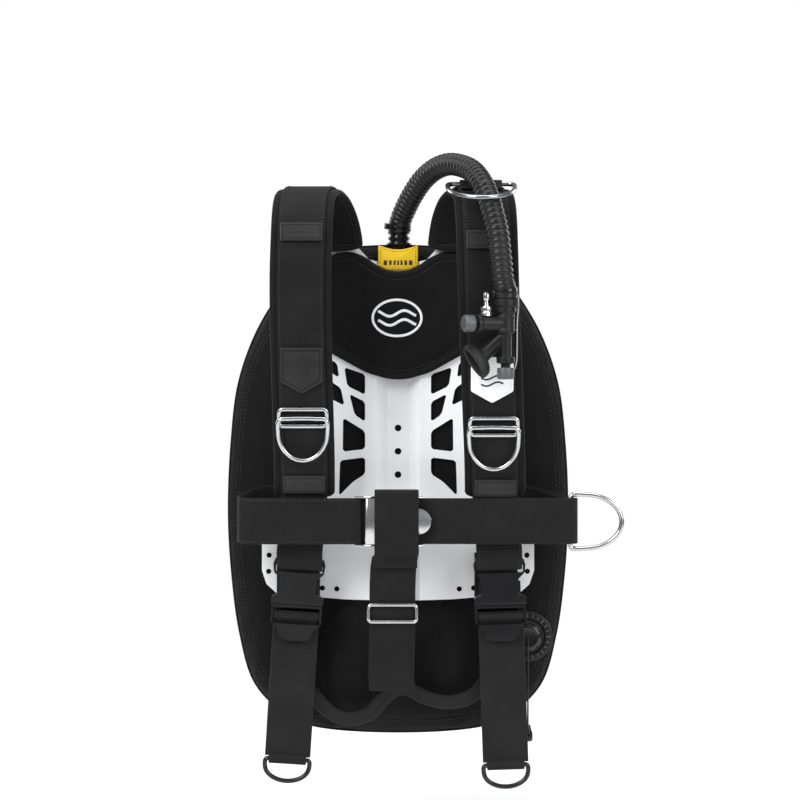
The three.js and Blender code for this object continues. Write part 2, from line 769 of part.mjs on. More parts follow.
// ---------- side-release buckles, pull straps and their rings ----------
const SOCKET = { w: 57, h: 50, t: 14 };
const SLOT = { w: WEB + 1.6, from: -7, to: -15 };
const PRONG = { w: 6, t: 5, x: 19.5, reach: 26 };
const TAIL = { t: 3, bar: -59.5, end: { right: -217, left: -223 } };
const TAIL_RING = { w: 54, h: 29, r: 2.6 };

function socket() {
  const half = SOCKET.w / 2;
  const shape = outline([
    [-half + 2, 0],
    [half - 2, 0],
    [half, -6],
    [half - 1, -15],
    [half - 8, -22],
    [half - 9, -31],
    [half - 8, -38],
    [half, -42],
    [half, -SOCKET.h],
    [-half, -SOCKET.h],
    [-half, -42],
    [-half + 8, -38],
    [-half + 9, -31],
    [-half + 8, -22],
    [-half + 1, -15],
    [-half, -6],
  ]);
  const body = solid(slab(shape, SOCKET.t / 2, SOCKET.t));
  const slot = solid(box(-SLOT.w / 2, SLOT.w / 2, -20, 20, SLOT.to, SLOT.from));
  const mouth = solid(box(-half + 2.2, half - 2.2, -3.6, 3.6, -SOCKET.h - 5, -20));
  return body.subtract(slot).subtract(mouth);
}

function plug() {
  const half = SOCKET.w / 2 - 1;
  const top = -SOCKET.h - 0.4;
  const shape = outline([
    [-half, top],
    [half, top],
    [half, top - 20],
    [half - 7, top - 26],
    [half - 11, top - 36],
    [half - 17, top - 39],
    [-half + 17, top - 39],
    [-half + 11, top - 36],
    [-half + 7, top - 26],
    [-half, top - 20],
  ]);
  let body = solid(slab(shape, 5, 11));
  const window = solid(box(-SLOT.w / 2, SLOT.w / 2, -20, 20, top - 21, top - 3));
  const under = solid(box(-40, 40, -1.2, 20, top - 60, top - 21));
  body = body.subtract(window).subtract(under);
  const bar = solid(box(-SLOT.w / 2 - 1, SLOT.w / 2 + 1, -2.5, 2.5, top - 11, top - 7));
  body = body.add(bar);
  for (const s of [-1, 1])
    body = body.add(solid(box(s * PRONG.x - PRONG.w / 2, s * PRONG.x + PRONG.w / 2, -PRONG.t / 2, PRONG.t / 2,
      top - 1, top + PRONG.reach)));
  const guide = solid(box(-4, 4, -PRONG.t / 2, PRONG.t / 2, top - 1, top + PRONG.reach - 6));
  return body.add(guide);
}

for (const side of SIDES) {
  const holder = new THREE.Group();
  holder.position.set(side.buckle, BUCKLE_TOP.y, BUCKLE_TOP.z);
  holder.rotation.y = THREE.MathUtils.degToRad(side.lean);
  vest.add(holder);
  put(`buckle_socket_${side.name}`, socket(), "plastic", holder);
  put(`buckle_plug_${side.name}`, plug(), "plastic", holder);
  const end = TAIL.end[side.name];
  const tail = [
    V(0, -4.4, TAIL.bar),
    V(0, -3.6, TAIL.bar - 4.5),
    V(0, 0.5, TAIL.bar - 9.5),
    V(0, 2.4, TAIL.bar - 15),
    V(0, 2.8, TAIL.bar - 30),
    V(0, 2.2, TAIL.bar - 80),
    V(0, 1.8, end),
  ];
  put(`pull_strap_${side.name}`, ribbon(tail, X, WEB, TAIL.t, 18), "webbing", holder);
  const ring = put(`pull_ring_${side.name}`, dRing(TAIL_RING.w, TAIL_RING.h, TAIL_RING.r), "plastic", holder);
  ring.position.set(0, 1.8, end - TAIL_RING.r - 0.6);

  // Webbing from the backplate's lower corner, down and round to the back of the plug
  const x = side.buckle + side.anchorShift;
  const anchor = [
    V(x, BELT_PLATE_Y, -112),
    V(x, BELT_PLATE_Y, -148),
    V(x, -39.5, -170),
    V(x, -46, -184),
    V(x, -55, -186.5),
    V(x, -61, -180),
    V(x, -62, -171),
  ];
  put(`anchor_webbing_${side.name}`, ribbon(anchor, X, WEB - 2, WEB_T, 20), "webbing");
}

// ---------- elbow, hose and inflator ----------
const elbow = turned([
  [ELBOW.r - 1, WING_TOP - 14],
  [ELBOW.r, WING_TOP - 12],
  [ELBOW.r, WING_TOP + 1.4],
  [ELBOW.r + 4.5, WING_TOP + 1.5],
  [ELBOW.r + 4.5, WING_TOP + 4.5],
  [ELBOW.r + 1, WING_TOP + 5],
  [ELBOW.r + 1, WING_TOP + 15],
]);
put("elbow", elbow.translate(ELBOW.x, ELBOW.y, 0), "plastic");

const hoseRoute = [
  V(ELBOW.x, ELBOW.y, 243.4),
  V(ELBOW.x, ELBOW.y, 249),
  V(3, -10, 258),
  V(7.5, -15, 269),
  V(16, -26, 285),
  V(28, -40, 301.5),
  V(42, -56, 312),
  V(56, -72, 315.5),
  V(70, -89, 312),
  V(81, -104, 305),
  V(90, -119.5, 292),
  V(97, -132.5, 275),
  V(102, -142, 256),
  V(106.5, -148, 235),
  V(109.5, -149.5, 209),
  V(112, -148, 185),
  V(TUBE_X - 0.3, TUBE_Y, 173),
  V(TUBE_X, TUBE_Y, 165.6),
];
put("corrugated_hose", tube(hoseRoute, HOSE_R, 30, 10), "rubber");

function inflatorBody() {
  const stem = turned([
    [6.3, 103],
    [6.3, 127],
    [9.8, 129],
    [9.8, 149],
    [11.5, 151],
    [11.5, 157],
    [HOSE_R + 0.8, 157.5],
    [HOSE_R + 0.8, 165],
  ]);
  const collar = turned([
    [NECK_R, 91],
    [NECK_R, 96],
    [9.9, 96.1],
    [9.9, 103.5],
  ]);
  const along = (radius, from, to, sides = 14) =>
    solid(
      new THREE.CylinderGeometry(radius, radius, to - from, sides)
        .rotateZ(Math.PI / 2)
        .translate(-(from + to) / 2, 0, BRANCH_Z),
    );
  const side = along(8.3, 0, 30).add(along(9.9, 29, 33.5)).add(along(NECK_R, 33, 38.5));
  const duct = solid(
    new THREE.CylinderGeometry(8, 7.5, 30, 12).rotateZ(-0.75).rotateX(0.3).translate(-13, 3, 117),
  );
  return solid(stem)
    .add(solid(collar))
    .add(solid(geometry(side).rotateZ(BRANCH_TURN)))
    .add(duct);
}

const air = new THREE.Group();
air.position.set(TUBE_X, TUBE_Y, 0);
vest.add(air);
put("inflator_body", inflatorBody(), "plastic", air);

// A cup that slides over the body's neck, its open end at 0 and its face at length
function button(length) {
  const outer = solid(turned([[BUTTON_R, 0], [BUTTON_R, length - 1], [BUTTON_R - 1, length]], 18));
  const bore = solid(turned([[NECK_R + GAP, -1], [NECK_R + GAP, length - 2]], 14));
  return geometry(outer.subtract(bore));
}

put("deflate_button", button(12).rotateX(Math.PI).translate(0, 0, 91.6), "button", air);

const branchAir = new THREE.Group();
branchAir.rotation.z = BRANCH_TURN;
air.add(branchAir);
put("inflate_button", button(11).rotateY(-Math.PI / 2).translate(-37.3, 0, BRANCH_Z), "button", branchAir);
const nipple = turned([
  [6.3, BRANCH_Z + 8.6],
  [6.3, BRANCH_Z + 18],
  [3, BRANCH_Z + 18.2],
  [3, BRANCH_Z + 26],
  [3.8, BRANCH_Z + 27],
  [3.8, BRANCH_Z + 31],
  [2.6, BRANCH_Z + 33.5],
], 12);
put("inflator_nipple", nipple.translate(-22, 0, 0), "steel", branchAir);

// The oral mouthpiece: an oval rubber bell at the end of the duct
{
  const bell = new THREE.Shape().absellipse(0, 0, 20, 9.5, 0, 2 * Math.PI);
  bell.holes.push(new THREE.Path().absellipse(0, 0, 15, 4.8, 0, 2 * Math.PI));
  const depth = 13;
  const made = new THREE.ExtrudeGeometry(bell, { depth, bevelEnabled: false, curveSegments: 8 });
  const mouth = put("mouthpiece", made, "rubber", air);
  const long = V(0.55, 0, -0.835);
  const face = V(-0.7, -0.45, -0.46);
  face.addScaledVector(long, -face.dot(long)).normalize();
  const short = face.clone().cross(long);
  mouth.setRotationFromMatrix(new THREE.Matrix4().makeBasis(long, short, face));
  mouth.position.set(-25.5, 0, 103);
}

// ---------- dump valve ----------
{
  const base = solid(turned([[7.6, -12], [7.6, 0], [VALVE.baseR, 0], [VALVE.baseR, 3], [VALVE.baseR - 3, 4]], 28));
  const cap = turned([[VALVE.capR, 4.3], [VALVE.capR, 11], [VALVE.capR - 3, 14]], 24);
  const holder = new THREE.Group();
  holder.position.set(VALVE.x, WING_FRONT - GAP, VALVE.z);
  holder.rotation.x = Math.PI / 2;
  vest.add(holder);
  put("dump_valve_base", base, "plastic", holder);
  put("dump_valve_cap", cap, "plastic", holder);
}
const CORD_R = 0.9;
const cordTop = V(VALVE.x, WING_FRONT - GAP - 14 - CORD_R - 0.6, VALVE.z);
const cordRoute = [
  cordTop,
  V(VALVE.x, cordTop.y - 2, VALVE.z - 6),
  V(VALVE.x, cordTop.y - 2.5, VALVE.z - 16),
  V(VALVE.x, cordTop.y - 2, VALVE.z - 40),
  V(VALVE.x, cordTop.y - 1, VALVE.z - 70),
  V(VALVE.x, cordTop.y - 1, VALVE.z - 96),
];
put("dump_cord", tube(cordRoute, CORD_R, 22, 8), "rubber");
const toggle = turned([[4.2, -18.3], [5.4, -16], [5, -10], [2.6, -GAP]], 14);
put("dump_toggle", toggle.translate(VALVE.x, cordTop.y - 1, VALVE.z - 96), "plastic");

export default vest;
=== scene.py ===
"""Visual model of a backplate and wing buoyancy compensator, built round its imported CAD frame."""
import json
import math

import bmesh
import bpy
import numpy as np
from mathutils import Matrix, Vector, noise

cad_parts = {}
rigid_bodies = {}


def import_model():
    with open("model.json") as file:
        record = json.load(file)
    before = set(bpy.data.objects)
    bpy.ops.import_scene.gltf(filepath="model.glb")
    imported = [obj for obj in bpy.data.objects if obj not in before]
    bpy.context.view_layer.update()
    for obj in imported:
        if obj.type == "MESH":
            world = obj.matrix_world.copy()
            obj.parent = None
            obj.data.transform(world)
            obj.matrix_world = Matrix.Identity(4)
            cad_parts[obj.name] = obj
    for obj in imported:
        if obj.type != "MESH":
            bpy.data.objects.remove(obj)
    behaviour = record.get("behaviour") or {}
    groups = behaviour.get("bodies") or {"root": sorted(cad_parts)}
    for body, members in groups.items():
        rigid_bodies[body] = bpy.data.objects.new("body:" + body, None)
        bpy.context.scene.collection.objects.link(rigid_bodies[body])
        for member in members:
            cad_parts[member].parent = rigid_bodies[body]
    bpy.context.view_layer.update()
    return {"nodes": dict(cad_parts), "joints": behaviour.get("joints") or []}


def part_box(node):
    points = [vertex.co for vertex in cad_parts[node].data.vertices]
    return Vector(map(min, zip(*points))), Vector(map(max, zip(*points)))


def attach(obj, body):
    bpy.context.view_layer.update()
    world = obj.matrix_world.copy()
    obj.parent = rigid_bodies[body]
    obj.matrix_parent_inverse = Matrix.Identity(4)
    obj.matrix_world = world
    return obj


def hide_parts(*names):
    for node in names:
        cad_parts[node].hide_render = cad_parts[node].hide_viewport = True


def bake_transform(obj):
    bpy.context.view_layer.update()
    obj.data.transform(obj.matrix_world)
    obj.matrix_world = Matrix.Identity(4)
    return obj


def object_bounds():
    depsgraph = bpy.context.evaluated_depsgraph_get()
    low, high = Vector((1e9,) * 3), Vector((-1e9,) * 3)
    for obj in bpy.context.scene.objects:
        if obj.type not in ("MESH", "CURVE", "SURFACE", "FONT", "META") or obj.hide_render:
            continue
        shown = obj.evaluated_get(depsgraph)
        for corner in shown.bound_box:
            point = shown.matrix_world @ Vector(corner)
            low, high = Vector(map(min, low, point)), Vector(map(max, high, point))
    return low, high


for leftover in list(bpy.data.objects):
    bpy.data.objects.remove(leftover)
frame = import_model()
nodes = frame["nodes"]
joints = {j["name"]: j for j in frame["joints"]}
MM = 0.001
X, Y, Z = Vector((1, 0, 0)), Vector((0, 1, 0)), Vector((0, 0, 1))
FRONT = -Y
SIDES = {"right": -1, "left": 1}

# ---------- camera, light and floor ----------
scene = bpy.context.scene
CENTRE = Vector((2.2, -60, 57.2)) * MM
DISTANCE = 3.0
VIEW_WIDTH = 0.880
SENSOR = 36.0
camera = bpy.data.objects.new("camera", bpy.data.cameras.new("camera"))
camera.data.sensor_width = SENSOR
camera.data.lens = SENSOR * DISTANCE / VIEW_WIDTH
camera.location = CENTRE - Y * DISTANCE
camera.rotation_euler = (math.pi / 2, 0, 0)
scene.collection.objects.link(camera)
scene.camera = camera
scene.view_settings.view_transform = "Standard"


def softbox(name, place, size, power, aim=CENTRE):
    data = bpy.data.lights.new(name, "AREA")
    data.shape, data.size, data.size_y, data.energy = "RECTANGLE", size[0], size[1], power
    light = bpy.data.objects.new(name, data)
    light.location = place
    light.rotation_euler = (aim - Vector(place)).to_track_quat("-Z", "Y").to_euler()
    scene.collection.objects.link(light)


softbox("key", (-1.5, -2.0, 1.5), (1.3, 1.3), 62)
softbox("fill", (1.8, -1.9, 0.9), (1.3, 1.6), 36)
softbox("top", (0.0, -0.3, 2.1), (2.2, 1.4), 40)
softbox("back_left", (-1.7, 1.6, 0.8), (1.0, 1.6), 20)
softbox("back_right", (1.7, 1.6, 0.8), (1.0, 1.6), 20)


def filled(node, values):
    """A shader node with its inputs set; an underscore stands for a space in an input's name."""
    for socket, value in values.items():
        node.inputs[socket.replace("_", " ")].default_value = value
    return node


# An even pale world lights the object, and the camera sees plain white behind it
world = bpy.data.worlds.new("studio")
world.use_nodes = True
scene.world = world
tree = world.node_tree
background = filled(tree.nodes["Background"], {"Color": (0.93, 0.95, 1.0, 1), "Strength": 0.30})
seen = filled(tree.nodes.new("ShaderNodeBackground"), {"Color": (1, 1, 1, 1), "Strength": 1.0})
path_kind = tree.nodes.new("ShaderNodeLightPath")
pick = tree.nodes.new("ShaderNodeMixShader")
tree.links.new(path_kind.outputs["Is Camera Ray"], pick.inputs[0])
tree.links.new(background.outputs[0], pick.inputs[1])
tree.links.new(seen.outputs[0], pick.inputs[2])
tree.links.new(pick.outputs[0], tree.nodes["World Output"].inputs[0])


# ---------- materials ----------
WAVE_SCALE = 0.314  # Blender's wave texture repeats every 0.314 / scale metres


def surface(name, colour, rough, metal=0.0, vary=0.25, patch=35.0, pattern=None, pitch=1.0, depth=0.2,
            grain=900.0, grain_depth=0.05, rough_vary=0.12, uv=False, shade_share=0.55, **constants):
    """A principled surface: colour and roughness drift with noise, and a woven or ribbed pattern plus a fine
    grain stand in its bump; the pattern also darkens the colour in its grooves and holes by shade_share,
    as painted shade. Pitches and depths are in millimetres."""
    made = bpy.data.materials.new(name)
    made.use_nodes = True
    tree = made.node_tree
    link = tree.links.new

    def node(kind, **values):
        return filled(tree.nodes.new(f"ShaderNode{kind}"), values)

    shader = filled(tree.nodes["Principled BSDF"], {"Metallic": metal, **constants})
    coordinates = node("TexCoord")
    place = coordinates.outputs["Object"]
    drift = node("TexNoise", Scale=patch, Detail=5)
    link(place, drift.inputs["Vector"])
    ramp = node("ValToRGB")
    ramp.color_ramp.elements[0].position = 0.3
    ramp.color_ramp.elements[1].position = 0.72
    ramp.color_ramp.elements[0].color = (*[c * (1 - vary) for c in colour], 1)
    ramp.color_ramp.elements[1].color = (*[min(1, c * (1 + vary)) for c in colour], 1)
    link(drift.outputs["Fac"], ramp.inputs["Fac"])
    rough_map = node("MapRange", To_Min=max(0.02, rough * (1 - rough_vary)),
                     To_Max=min(1, rough * (1 + rough_vary)))
    link(drift.outputs["Fac"], rough_map.inputs["Value"])
    link(rough_map.outputs["Result"], shader.inputs["Roughness"])
    colour_out = ramp.outputs["Color"]
    fine = node("TexNoise", Scale=grain, Detail=3)
    link(place, fine.inputs["Vector"])
    first = node("Bump", Strength=1, Distance=grain_depth * MM)
    link(fine.outputs["Fac"], first.inputs["Height"])
    last = first
    if pattern:
        source = coordinates.outputs["UV"] if uv else place
        waves = []
        for flip in (1, -1):
            turn = node("Mapping", Scale=(flip, 1, 1))
            link(source, turn.inputs["Vector"])
            run = 1 if uv else math.sqrt(3)
            wave = node("TexWave", Scale=WAVE_SCALE / (pitch * MM) / run, Distortion=0.35, Detail_Scale=2)
            wave.bands_direction = ("X" if flip > 0 else "Y") if uv else "DIAGONAL"
            link(turn.outputs["Vector"], wave.inputs["Vector"])
            waves.append(wave)
        mix = node("Math")
        mix.operation = {"weave": "MULTIPLY", "mesh": "MAXIMUM"}[pattern]
        for i, wave in enumerate(waves):
            link(wave.outputs["Fac"], mix.inputs[i])
        second = node("Bump", Distance=depth * MM)
        link(mix.outputs[0], second.inputs["Height"])
        link(first.outputs["Normal"], second.inputs["Normal"])
        last = second
        # painted shade: the pattern darkens the base colour in its grooves and holes, by shade_share
        shade = node("Mix", Factor=shade_share)
        shade.data_type, shade.blend_type = "RGBA", "MULTIPLY"
        link(colour_out, shade.inputs["A"])
        link(mix.outputs[0], shade.inputs["B"])
        colour_out = shade.outputs["Result"]
    link(colour_out, shader.inputs["Base Color"])
    link(last.outputs["Normal"], shader.inputs["Normal"])
    return made


FABRIC = dict(Sheen_Weight=0.05, Sheen_Roughness=0.5, Specular_IOR_Level=0.12)
WEAVE = dict(pattern="weave", **FABRIC)
finish = {
    "plate": surface("white_powder_coat", (0.90, 0.905, 0.92), 0.38, vary=0.02, grain=700, grain_depth=0.03),
    "cloth": surface("black_nylon", (0.0085, 0.008, 0.008), 0.8, pitch=0.9, depth=0.16, **WEAVE),
    "padding": surface("black_spacer", (0.0065, 0.006, 0.006), 0.85, pattern="mesh", pitch=1.6, depth=0.3,
                       **FABRIC),
    "binding": surface("black_binding", (0.011, 0.0105, 0.0105), 0.75, pitch=0.7, depth=0.12, **WEAVE),
    "webbing": surface("ribbed_webbing", (0.014, 0.0135, 0.013), 0.6, pitch=1.1, depth=0.12, uv=True,
                       **WEAVE),
    "tail": surface("grey_webbing", (0.020, 0.0195, 0.019), 0.66, pitch=1.1, depth=0.14, uv=True, **WEAVE),
    "thread": surface("thread", (0.03, 0.03, 0.03), 0.6, pattern="weave", pitch=0.5, depth=0.05),
    "steel": surface("polished_steel", (0.52, 0.525, 0.53), 0.19, metal=1.0, vary=0.06, patch=60, grain=1500,
                     grain_depth=0.008, rough_vary=0.35),
    "dark_steel": surface("dark_steel", (0.30, 0.31, 0.33), 0.22, metal=1.0, vary=0.1, grain=1500,
                          grain_depth=0.01),
    "plastic": surface("matt_acetal", (0.007, 0.007, 0.0075), 0.42, grain=1600, grain_depth=0.02,
                       Specular_IOR_Level=0.28),
    "gloss": surface("gloss_acetal", (0.006, 0.006, 0.0065), 0.2, grain=900, grain_depth=0.012,
                     rough_vary=0.25, Specular_IOR_Level=0.4),
    "rubber": surface("moulded_rubber", (0.013, 0.013, 0.0135), 0.5, grain=1300, grain_depth=0.03,
                      Specular_IOR_Level=0.3),
    "hose": surface("hose_rubber", (0.010, 0.010, 0.0105), 0.36, vary=0.3, grain=1100, grain_depth=0.02,
                    Specular_IOR_Level=0.3),
    "badge": surface("white_rubber", (0.80, 0.81, 0.83), 0.45, vary=0.03, grain=900, grain_depth=0.02),
    "button": surface("grey_moulding", (0.075, 0.08, 0.085), 0.4, vary=0.08, grain=1200, grain_depth=0.02),
    "yellow": surface("yellow_tape", (1.0, 0.64, 0.004), 0.7, vary=0.05, pattern="weave", depth=0.15,
                      shade_share=0.22),
    "print": surface("black_print", (0.02, 0.02, 0.02), 0.7, grain=1200, grain_depth=0.03),
    "light_cord": surface("light_cord", (0.42, 0.43, 0.45), 0.6, pattern="weave", pitch=0.8, depth=0.15),
    "cord": surface("black_braid", (0.02, 0.02, 0.02), 0.6, pattern="weave", pitch=0.8, depth=0.2),
}


# ---------- meshes ----------
def shape(name, points, faces, uvs=None, sharp=None):
    """A mesh object from points in millimetres, its UVs given one a point."""
    data = bpy.data.meshes.new(name)
    data.from_pydata([tuple(c * MM for c in p) for p in points], [], faces)
    data.polygons.foreach_set("use_smooth", [True] * len(data.polygons))
    if uvs is not None:
        layer = data.uv_layers.new(name="UVMap")
        loops = np.zeros(len(data.loops), np.int32)
        data.loops.foreach_get("vertex_index", loops)
        layer.data.foreach_set("uv", (np.asarray(uvs, float)[loops] * MM).astype(np.float32).ravel())
    made = bpy.data.objects.new(name, data)
    scene.collection.objects.link(made)
    outward(made)
    if sharp:
        data.set_sharp_from_angle(angle=math.radians(sharp))
    return made


def outward(made):
    mesh = bmesh.new()
    mesh.from_mesh(made.data)
    bmesh.ops.recalc_face_normals(mesh, faces=mesh.faces)
    mesh.to_mesh(made.data)
    mesh.free()


def put(made, body, material, replaces=()):
    """Gives a piece its finish, its body and the CAD nodes that it stands for. A piece given no body
    is left without a parent."""
    made.data.materials.clear()
    made.data.materials.append(finish[material])
    if body:
        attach(made, body)
    if replaces:
        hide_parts(*([replaces] if isinstance(replaces, str) else replaces))
    return made


def spline(points, closed=False, per=10):
    """A centripetal curve through the points, whose first three columns are the place."""
    p = np.asarray(points, float)
    n = len(p)
    out = []
    for i in range(n if closed else n - 1):
        if closed:
            a, b, c, d = p[(i - 1) % n], p[i], p[(i + 1) % n], p[(i + 2) % n]
        else:
            b, c = p[i], p[i + 1]
            a = p[i - 1] if i else 2 * b - c
            d = p[i + 2] if i + 2 < n else 2 * c - b
        gaps = [max(np.linalg.norm((v - u)[:3]) ** 0.5, 1e-4) for u, v in ((a, b), (b, c), (c, d))]
        first = ((b - a) / gaps[0] - (c - a) / (gaps[0] + gaps[1]) + (c - b) / gaps[1]) * gaps[1]
        second = ((c - b) / gaps[1] - (d - b) / (gaps[1] + gaps[2]) + (d - c) / gaps[2]) * gaps[1]
        for k in range(per):
            t = k / per
            out.append(b + first * t + (3 * (c - b) - 2 * first - second) * t**2
                       + (2 * (b - c) + first + second) * t**3)
    if not closed:
        out.append(p[-1])
    return np.array(out)


def span(node):
    """A CAD node's lowest and highest corners at rest, in millimetres."""
    return [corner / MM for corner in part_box(node)]


def unit(v):
    return v / np.maximum(np.linalg.norm(v, axis=-1, keepdims=True), 1e-12)


class Track:
    """A route resampled at an even step, in millimetres, with its side, along and outward directions."""

    def __init__(self, points, step, side=None, closed=False, smooth=True):
        p = np.asarray([list(q) for q in points], float)
        if side is not None:
            across = [list(v) for v in side] if np.ndim(side) > 1 else [list(side)] * len(p)
            p = np.hstack([p, np.asarray(across, float)])
        dense = spline(p, closed) if smooth else p
        if closed:
            dense = np.vstack([dense, dense[:1]])
        run = np.concatenate([[0], np.cumsum(np.linalg.norm(np.diff(dense[:, :3], axis=0), axis=1))])
        count = max(4, int(round(run[-1] / step)))
        at = np.linspace(0, run[-1], count + 1)
        even = np.stack([np.interp(at, run, dense[:, k]) for k in range(dense.shape[1])], 1)
        self.length, self.closed = run[-1], closed
        if closed:
            even, at = even[:-1], at[:-1]
        self.p, self.v = even[:, :3], at
        if closed:
            self.t = unit(np.roll(self.p, -1, 0) - np.roll(self.p, 1, 0))
        else:
            self.t = unit(np.gradient(self.p, axis=0))
        if side is not None:
            self.s = unit(even[:, 3:6])
        else:
            s = np.cross(self.t[0], [0.3, 0.9, 0.2])
            sides = []
            for t in self.t:
                s = s - t * (s @ t)
                s = s / np.linalg.norm(s)
                sides.append(s)
            self.s = np.array(sides)
        self.n = unit(np.cross(self.t, self.s))

    def line(self, u, h, start=0, end=None):
        """Points at lateral place u and height h, from one length to another."""
        end = self.length if end is None else end
        keep = (self.v >= start) & (self.v <= end)
        return (self.p + self.s * u + self.n * h)[keep], self.n[keep]


def skin(k, rows, closed=False):
    """Quads between rings of k points each, with a cap at both ends if the rows are open."""
    faces = []
    for j in range(rows if closed else rows - 1):
        a, b = j * k, (j + 1) % rows * k
        faces += [(a + i, a + (i + 1) % k, b + (i + 1) % k, b + i) for i in range(k)]
    if not closed:
        faces += [tuple(range(k))[::-1], tuple(range((rows - 1) * k, rows * k))]
    return faces


def sweep(name, track, section, change=None):
    """A closed section, as (u, h) points, carried along a track. change(u, h, v) moves it at each place."""
    section = np.asarray(section, float)
    k, rows = len(section), len(track.p)
    u, h = section[:, 0][None, :].repeat(rows, 0), section[:, 1][None, :].repeat(rows, 0)
    v = track.v[:, None].repeat(k, 1)
    if change:
        u, h = change(u, h, v)
    points = track.p[:, None] + track.s[:, None] * u[..., None] + track.n[:, None] * h[..., None]
    uvs = np.stack([section[:, 0][None, :].repeat(rows, 0), v], -1).reshape(-1, 2)
    return shape(name, points.reshape(-1, 3), skin(k, rows, track.closed), uvs)


def angles(count):
    """Even angles round a circle."""
    return [2 * math.pi * i / count for i in range(count)]


def oval(a, b, sides=16):
    return [(a * math.cos(g), b * math.sin(g)) for g in angles(sides)]


def flat_section(width, thickness, across=12, under=6, corner=0.45):
    """The section of a strap: flat both ways, its edges rounded."""
    half, h = width / 2, thickness / 2
    e = h * 2 * corner
    top = [(x, h) for x in np.linspace(-half + e, half - e, across)]
    edge = [(half - e * 0.3, h * 0.72), (half, 0), (half - e * 0.3, -h * 0.72)]
    low = [(x, -h) for x in np.linspace(half - e, -half + e, under)]
    return top + edge + low + [(-x, -y) for x, y in edge]


def turned(name, profile, sides=48, at=(0, 0, 0), axis=Z, ripple=None, sharp=35):
    """A lathe of (radius, height) steps about an axis through at. ripple(angle, height) widens it."""
    turn = Vector(axis).to_track_quat("Z", "Y").to_matrix()
    points = []
    for r, z in profile:
        for a in angles(sides):
            e = ripple(a, z) if ripple and r > 0.5 else 0
            points.append(Vector(at) + turn @ Vector(((r + e) * math.cos(a), (r + e) * math.sin(a), z)))
    return shape(name, points, skin(sides, len(profile)), sharp=sharp)


def eased(profile, r=0.5):
    """A lathe profile with its corners cut twice, so that edges catch the light."""
    out = [profile[0]]
    for a, b, c in zip(profile, profile[1:], profile[2:]):
        a, b, c = (np.array(q, float) for q in (a, b, c))
        ends = []
        for other in (a, c):
            gap = np.linalg.norm(other - b)
            ends.append(b + (other - b) * min(r, gap * 0.4) / max(gap, 1e-6))
        for t in (0, 0.5, 1):
            out.append(tuple(ends[0] * (1 - t) ** 2 + b * 2 * t * (1 - t) + ends[1] * t * t))
    return [*out, profile[-1]]


def cornered(corners, inset, radius, steps=4):
    """A polygon drawn in by inset with its corners rounded; the same count of points for any inset."""
    n = len(corners)
    p = [np.array(c, float) for c in corners]
    area = sum(p[i][0] * p[(i + 1) % n][1] - p[(i + 1) % n][0] * p[i][1] for i in range(n))
    if area < 0:
        p = p[::-1]
    moved = []
    for i in range(n):
        a, b, c = p[i - 1], p[i], p[(i + 1) % n]
        d1, d2 = unit(b - a), unit(c - b)
        n1, n2 = np.array([-d1[1], d1[0]]), np.array([-d2[1], d2[0]])
        moved.append(b + (n1 + n2) * inset / max(0.2, 1 + n1 @ n2))
    out = []
    for i in range(n):
        a, b, c = moved[i - 1], moved[i], moved[(i + 1) % n]
        r1, r2 = (min(max(radius - inset, 0.3), np.linalg.norm(o - b) * 0.45) for o in (a, c))
        e1, e2 = b + unit(a - b) * r1, b + unit(c - b) * r2
        for k in range(steps + 1):
            t = k / steps
            out.append(e1 * (1 - t) ** 2 + b * 2 * t * (1 - t) + e2 * t * t)
    return out


def box_corners(width, height):
    x, y = width / 2, height / 2
    return [(x, y), (-x, y), (-x, -y), (x, -y)]


class Seat:
    """A local frame in millimetres: u to the side, w up, n outward."""

    def __init__(self, at, side, up):
        self.at, self.u = Vector(at), Vector(side).normalized()
        self.n = self.u.cross(Vector(up)).normalized()
        self.w = self.n.cross(self.u)

    def __call__(self, u, w, n):
        return self.at + self.u * u + self.w * w + self.n * n


def seat_of(node, side=X):
    """The frame of a thin CAD piece on a strap: its middle, on its rear face."""
    co = np.array([v.co for v in nodes[node].data.vertices]) / MM
    side = np.array(side, float)
    flat = co - np.outer(co @ side, side)
    up = np.linalg.svd(np.unique(flat.round(2), axis=0) - flat.mean(0))[2][0]
    up = up * (1 if up[2] > 0 else -1)
    seat = Seat((0, 0, 0), side, up)
    local = np.stack([co @ np.array(a) for a in (seat.u, seat.w, seat.n)], 1)
    low, high = local.min(0), local.max(0)
    return Seat(seat((low[0] + high[0]) / 2, (low[1] + high[1]) / 2, low[2]), side, up)


def loft(name, seat, rings, sharp=40):
    """Rings of (u, w) points at heights, joined and capped."""
    points = [seat(p[0], p[1], height) for ring, height in rings for p in ring]
    return shape(name, points, skin(len(rings[0][0]), len(rings)), sharp=sharp)


def plaque(name, seat, corners, thickness, radius=1.5, border=0.0, groove=0.5, edge=0.4):
    """A moulded plate with soft edges and, if border is set, a pressed line that follows them."""
    layers = [(edge, 0), (0, edge), (0, thickness - edge), (edge * 0.4, thickness - edge * 0.3)]
    layers.append((edge, thickness))
    if border:
        sunk = thickness - groove
        layers += [(border, thickness), (border + 0.25, sunk), (border + 0.85, sunk)]
        layers.append((border + 1.1, thickness))
    return loft(name, seat, [(cornered(corners, inset, radius), height) for inset, height in layers])


def bar_at(seat, u, w, width, height, thickness, radius, edge):
    corners = [(u + a, w + b) for a, b in box_corners(width, height)]
    return plaque("bar", seat, corners, thickness, radius, edge=edge)


def joined(name, parts):
    """Several meshes as one object."""
    mesh = bmesh.new()
    for part in parts:
        mesh.from_mesh(part.data)
        bpy.data.objects.remove(part)
    data = bpy.data.meshes.new(name)
    mesh.to_mesh(data)
    mesh.free()
    data.polygons.foreach_set("use_smooth", [True] * len(data.polygons))
    made = bpy.data.objects.new(name, data)
    scene.collection.objects.link(made)
    return made


